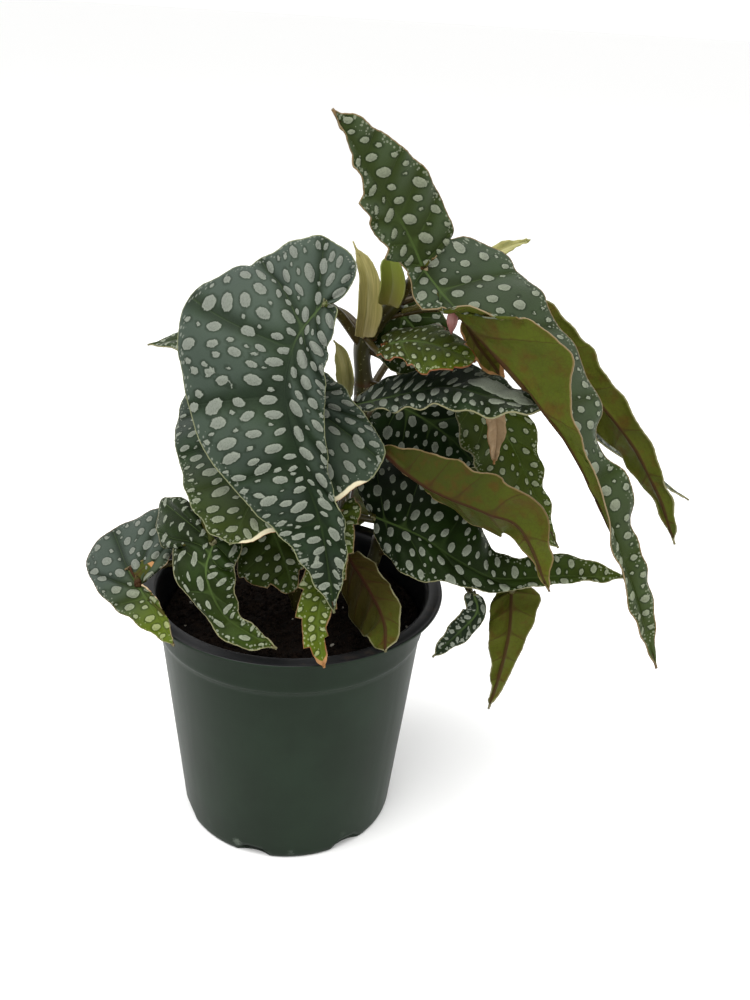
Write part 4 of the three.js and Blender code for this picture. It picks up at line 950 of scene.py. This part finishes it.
def potOuterMaterial():
    # thermoformed polystyrene: satin dark green, faint upright draw lines, dusty water marks low down
    material, skin, node = newMaterial("satinGreenPolystyrene")
    c, place = potFinish, millimetres(node)
    cloud = node("noise", place, 1 / c["cloudSize"])
    fine = node("noise", place, 1 / c["fineSize"], 4.0)
    streak = node("noise", node("stretch", place, (1.0, 1.0, c["streakPull"])), 1 / c["streakSize"], 3.0, 0.5)
    base = node("mix", node("smooth", cloud, 0.3, 0.7), c["green"], c["light"])
    base = node("mix", node("multiply", streak, 0.25), base, c["streak"])
    low = node("smooth", node("split", place).node.outputs[2], c["marksUpTo"], 4.0)
    marks = node("cells", place, c["marksPerMm"])
    dust = node("smooth", node("add", marks, node("multiply", fine, 0.25)), 0.3, 0.16)
    base = node("mix", node("multiply", dust, node("multiply", low, 0.6)), base, c["mark"])
    height = node("add", fine, node("multiply", streak, 0.6))
    feed(material, skin, {"Base Color": base, "Roughness": node("range", streak, *c["gloss"]),
                          "IOR": c["ior"], "Normal": node("bump", 0.18, c["relief"], height)})
    return material


def potInnerMaterial():
    # the same sheet's black side, smoother, with soil dust
    material, skin, node = newMaterial("blackPolystyrene")
    c, place = potFinish, millimetres(node)
    fine = node("noise", place, 1 / c["insideFineSize"], 4.0)
    dust = node("smooth", node("noise", place, 1 / c["dustSize"]), 0.55, 0.75)
    dust = node("multiply", dust, node("multiply", fine, 0.7))
    feed(material, skin, {"Base Color": node("mix", dust, c["black"], c["soilDust"]), "IOR": c["insideIor"],
                          "Roughness": node("range", fine, *c["insideGloss"])})
    return material


def lathe(profile, steps):
    # spins a closed profile of (radius, height) mm about the pot's axis
    shape = bmesh.new()
    ring = [shape.verts.new((r * mm, 0, z * mm)) for r, z in profile]
    edges = [shape.edges.new((a, b)) for a, b in zip(ring, ring[1:])]
    bmesh.ops.spin(shape, geom=ring + edges, cent=(0, 0, 0), axis=(0, 0, 1), angle=2 * math.pi,
                   steps=steps, use_merge=True)
    bmesh.ops.remove_doubles(shape, verts=shape.verts, dist=1e-6)
    bmesh.ops.recalc_face_normals(shape, faces=shape.faces)
    return shape


def makePot():
    p = potShape
    stepHeight, stepRadius = p["height"] - p["lipHeight"], p["lip"] - p["flare"]
    corner = [(0, 0), (p["base"] - 1.6, 0), (p["base"] - 0.9, 0.15), (p["base"] - 0.3, 0.8), (p["base"], 2)]
    side = [(p["base"] + (stepRadius - p["base"]) * t, 2 + (stepHeight - 2) * t)
            for t in np.linspace(0.02, 1, 40)]
    flare, _ = smoothLine(p["flareLine"] + [(p["flare"], p["lipHeight"] - 0.8)], 26)
    lip = [(stepRadius + r, stepHeight + z) for r, z in flare]
    rim = [(p["lip"] - 0.15, p["height"] - 0.05), (p["lip"] - 0.6, p["height"])]
    inLip = [(stepRadius + r - 0.9, stepHeight + z + 0.7) for r, z in flare[::-1]]
    inside = [(stepRadius - 1, stepHeight), (p["base"] - 1, 2.4), (p["base"] - 2.4, p["wall"]),
              (0, p["wall"])]
    shape = lathe(corner + side + lip + rim + inLip + inside, 180)
    mesh = bpy.data.meshes.new("nurseryPot")
    shape.to_mesh(mesh)
    shape.free()
    pot = finish("nurseryPot", mesh, [potOuterMaterial(), potInnerMaterial()], "pot")
    cutters = bmesh.new()
    for k in range(p["notches"]):
        angle = math.radians(p["firstNotch"] + 360 / p["notches"] * k)
        reach = (p["base"] + p["notchReach"]) * mm
        place = Matrix.Translation((reach * math.cos(angle), reach * math.sin(angle), 0))
        bmesh.ops.create_uvsphere(cutters, u_segments=48, v_segments=32, radius=p["notchRadius"] * mm,
                                  matrix=place @ Matrix.Diagonal((1, 1, p["notchSquash"], 1)))
    cutterMesh = bpy.data.meshes.new("notchCutter")
    cutters.to_mesh(cutterMesh)
    cutters.free()
    cutter = bpy.data.objects.new("notchCutter", cutterMesh)
    bpy.context.collection.objects.link(cutter)
    cut = pot.modifiers.new("notches", "BOOLEAN")
    cut.operation = "DIFFERENCE"
    cut.object = cutter
    cut.solver = "EXACT"
    bpy.context.view_layer.update()
    done = bpy.data.meshes.new_from_object(pot.evaluated_get(bpy.context.evaluated_depsgraph_get()))
    pot.modifiers.clear()
    pot.data = done
    bpy.data.objects.remove(cutter)
    # the sheet is green outside and black inside, lip top included
    for face in done.polygons:
        centre, normal = face.center, face.normal
        outward = normal.x * centre.x + normal.y * centre.y > 0 and normal.z < 0.35
        insideFace = not outward and centre.z > 1.5 * p["wall"] * mm or centre.z > (p["height"] - 0.35) * mm
        floorTop = normal.z > 0.5 and centre.z < 3 * mm and math.hypot(*centre.xy) < (p["base"] - 2) * mm
        face.material_index = 1 if insideFace or floorTop else 0
    done.shade_smooth()


makePot()
print("pot made")


# potting mix

soilShape = dict(top=87, swell=1.4, radius=48.2, sides=[(48.2, 80), (41, 4), (39, 1.6), (0, 1.6)])
crumbShape = dict(count=1500, sizes=(0.4, 1.3), inset=1, seed=7)
perliteShape = dict(count=20, sizes=(0.4, 0.9), inset=2, seed=11)
soilFinish = dict(wet="#0a0705", damp="#1e150f", dry="#55412c", lumpSize=3.0, fineSize=0.6,
                  relief=0.8 * mm, roughness=0.92)
perliteFinish = dict(shade="#68635a", chalk="#9d988d", pitsPerMetre=2600.0, roughness=0.9)


def soilMaterial():
    # damp peat and bark fines: dark, matt, with paler dry crumbs
    material, skin, node = newMaterial("peatyPottingMix")
    c, place = soilFinish, millimetres(node)
    lumps = node("noise", place, 1 / c["lumpSize"], 5.0, 0.7)
    fine = node("noise", place, 1 / c["fineSize"], 4.0, 0.7)
    base = node("mix", node("smooth", lumps, 0.35, 0.75), c["wet"], c["damp"])
    base = node("mix", node("multiply", node("smooth", fine, 0.55, 0.8), 0.5), base, c["dry"])
    feed(material, skin, {"Base Color": base, "Roughness": c["roughness"], "Specular IOR Level": 0.08,
                          "Normal": node("bump", 0.9, c["relief"], node("add", lumps, fine))})
    return material


def perliteMaterial():
    # expanded volcanic glass: chalky white and rough
    material, skin, node = newMaterial("chalkyPerlite")
    c = perliteFinish
    pits = node("noise", node("objectPoint"), c["pitsPerMetre"], 3.0, 0.5)
    feed(material, skin, {"Base Color": node("mix", pits, c["shade"], c["chalk"]),
                          "Roughness": c["roughness"]})
    return material


def groundHeight(x, y):
    s = soilShape
    radius, angle = np.hypot(x, y) / s["radius"], np.arctan2(y, x)
    swell = s["swell"] * np.sin(3 * angle + 5 * radius) * np.cos(2 * angle - 3 * radius) * ease(radius / 0.3)
    rough = sum(h * np.sin(x * f + 1.7 * k) * np.sin(y * f * 1.13 + 2.9 * k)
                for k, (h, f) in enumerate(((0.5, 0.31), (0.35, 0.67), (0.28, 1.3), (0.2, 2.3))))
    return s["top"] + swell - radius + rough - 0.6


def makeSoil():
    s = soilShape
    top = [(r, s["top"]) for r in np.linspace(0, s["radius"], 62)]
    shape = lathe(top + s["sides"], 200)
    for vert in shape.verts:
        if vert.co.z > (s["top"] - 0.5) * mm:
            x, y = vert.co.x / mm, vert.co.y / mm
            vert.co.z = float(groundHeight(x, y)) * mm
    mesh = bpy.data.meshes.new("pottingMix")
    shape.to_mesh(mesh)
    shape.free()
    finish("pottingMix", mesh, [pottingMix], "soil")


def makeCrumbs(name, material, count, sizes, inset, seed):
    # loose lumps half sunk in the surface, each a squashed and turned ball
    draw = np.random.RandomState(seed)
    reach = soilShape["radius"] - inset
    shape = bmesh.new()
    for _ in range(count):
        radius, angle = reach * math.sqrt(draw.uniform()), draw.uniform(0, 2 * math.pi)
        x, y = radius * math.cos(angle), radius * math.sin(angle)
        size = draw.uniform(*sizes)
        z = float(groundHeight(x, y)) + 0.15 * size
        turn = Matrix.Rotation(draw.uniform(0, 6.28), 4, (draw.normal(), draw.normal(), draw.normal() + 0.01))
        squash = Matrix.Diagonal((size * draw.uniform(0.7, 1.5), size * draw.uniform(0.6, 1.1),
                                  size * 0.6, 1))
        place = Matrix.Translation((x, y, z)) @ turn @ squash
        place = Matrix.Diagonal((mm, mm, mm, 1)) @ place @ Matrix.Diagonal((1 / mm, 1 / mm, 1 / mm, 1))
        bmesh.ops.create_icosphere(shape, subdivisions=1, radius=mm, matrix=place)
    mesh = bpy.data.meshes.new(name)
    shape.to_mesh(mesh)
    shape.free()
    finish(name, mesh, [material], None)


pottingMix = soilMaterial()
makeSoil()
makeCrumbs("soilCrumbs", pottingMix, **crumbShape)
makeCrumbs("perliteGrains", perliteMaterial(), **perliteShape)
print("soil made")


# floor, light and camera

studio = dict(floor="#f8f8f7", floorRoughness=0.85, sky="#ffffff", skyStrength=1.05, reach=40)
floorShape = bmesh.new()
bmesh.ops.create_grid(floorShape, x_segments=1, y_segments=1, size=studio["reach"])
floorMesh = bpy.data.meshes.new("floor")
floorShape.to_mesh(floorMesh)
floorShape.free()
floor = bpy.data.objects.new("floor", floorMesh)
bpy.context.collection.objects.link(floor)
floorPaint, floorSkin, _ = newMaterial("paleFloorPaint")
feed(floorPaint, floorSkin, {"Base Color": studio["floor"], "Roughness": studio["floorRoughness"]})
floorMesh.materials.append(floorPaint)

world = bpy.data.worlds.new("softStudio")
bpy.context.scene.world = world
world.use_nodes = True
world.node_tree.nodes["Background"].inputs[0].default_value = colour(studio["sky"])
world.node_tree.nodes["Background"].inputs[1].default_value = studio["skyStrength"]


def addLight(name, place, aim, size, watts):
    lamp = bpy.data.lights.new(name, "AREA")
    lamp.shape = "DISK"
    lamp.size = size
    lamp.energy = watts
    light = bpy.data.objects.new(name, lamp)
    bpy.context.collection.objects.link(light)
    direction = Vector(aim) - Vector(place)
    light.matrix_world = Matrix.Translation(place) @ direction.to_track_quat("-Z", "Y").to_matrix().to_4x4()


lamps = {
    "keyPanel": dict(place=(-0.35, -0.35, 1.4), aim=(0, 0, 0.15), size=1.6, watts=26),
    "fillPanel": dict(place=(0.9, -0.7, 0.7), aim=(0, 0, 0.12), size=0.9, watts=3),
}
for name, lamp in lamps.items():
    addLight(name, **lamp)
print("studio set")

view = dict(eye=(0.029406, -0.347935, 0.296438), pitch=25.0, roll=3.4, lens=37.8)
camera = bpy.data.objects.new("camera", bpy.data.cameras.new("camera"))
bpy.context.collection.objects.link(camera)
camera.data.lens = view["lens"]
camera.data.clip_start = 0.02
camera.matrix_world = (Matrix.Translation(view["eye"])
                       @ Matrix.Rotation(math.radians(90 - view["pitch"]), 4, "X")
                       @ Matrix.Rotation(math.radians(view["roll"]), 4, "Z"))
bpy.context.scene.camera = camera
bpy.context.scene.view_settings.view_transform = "Standard"
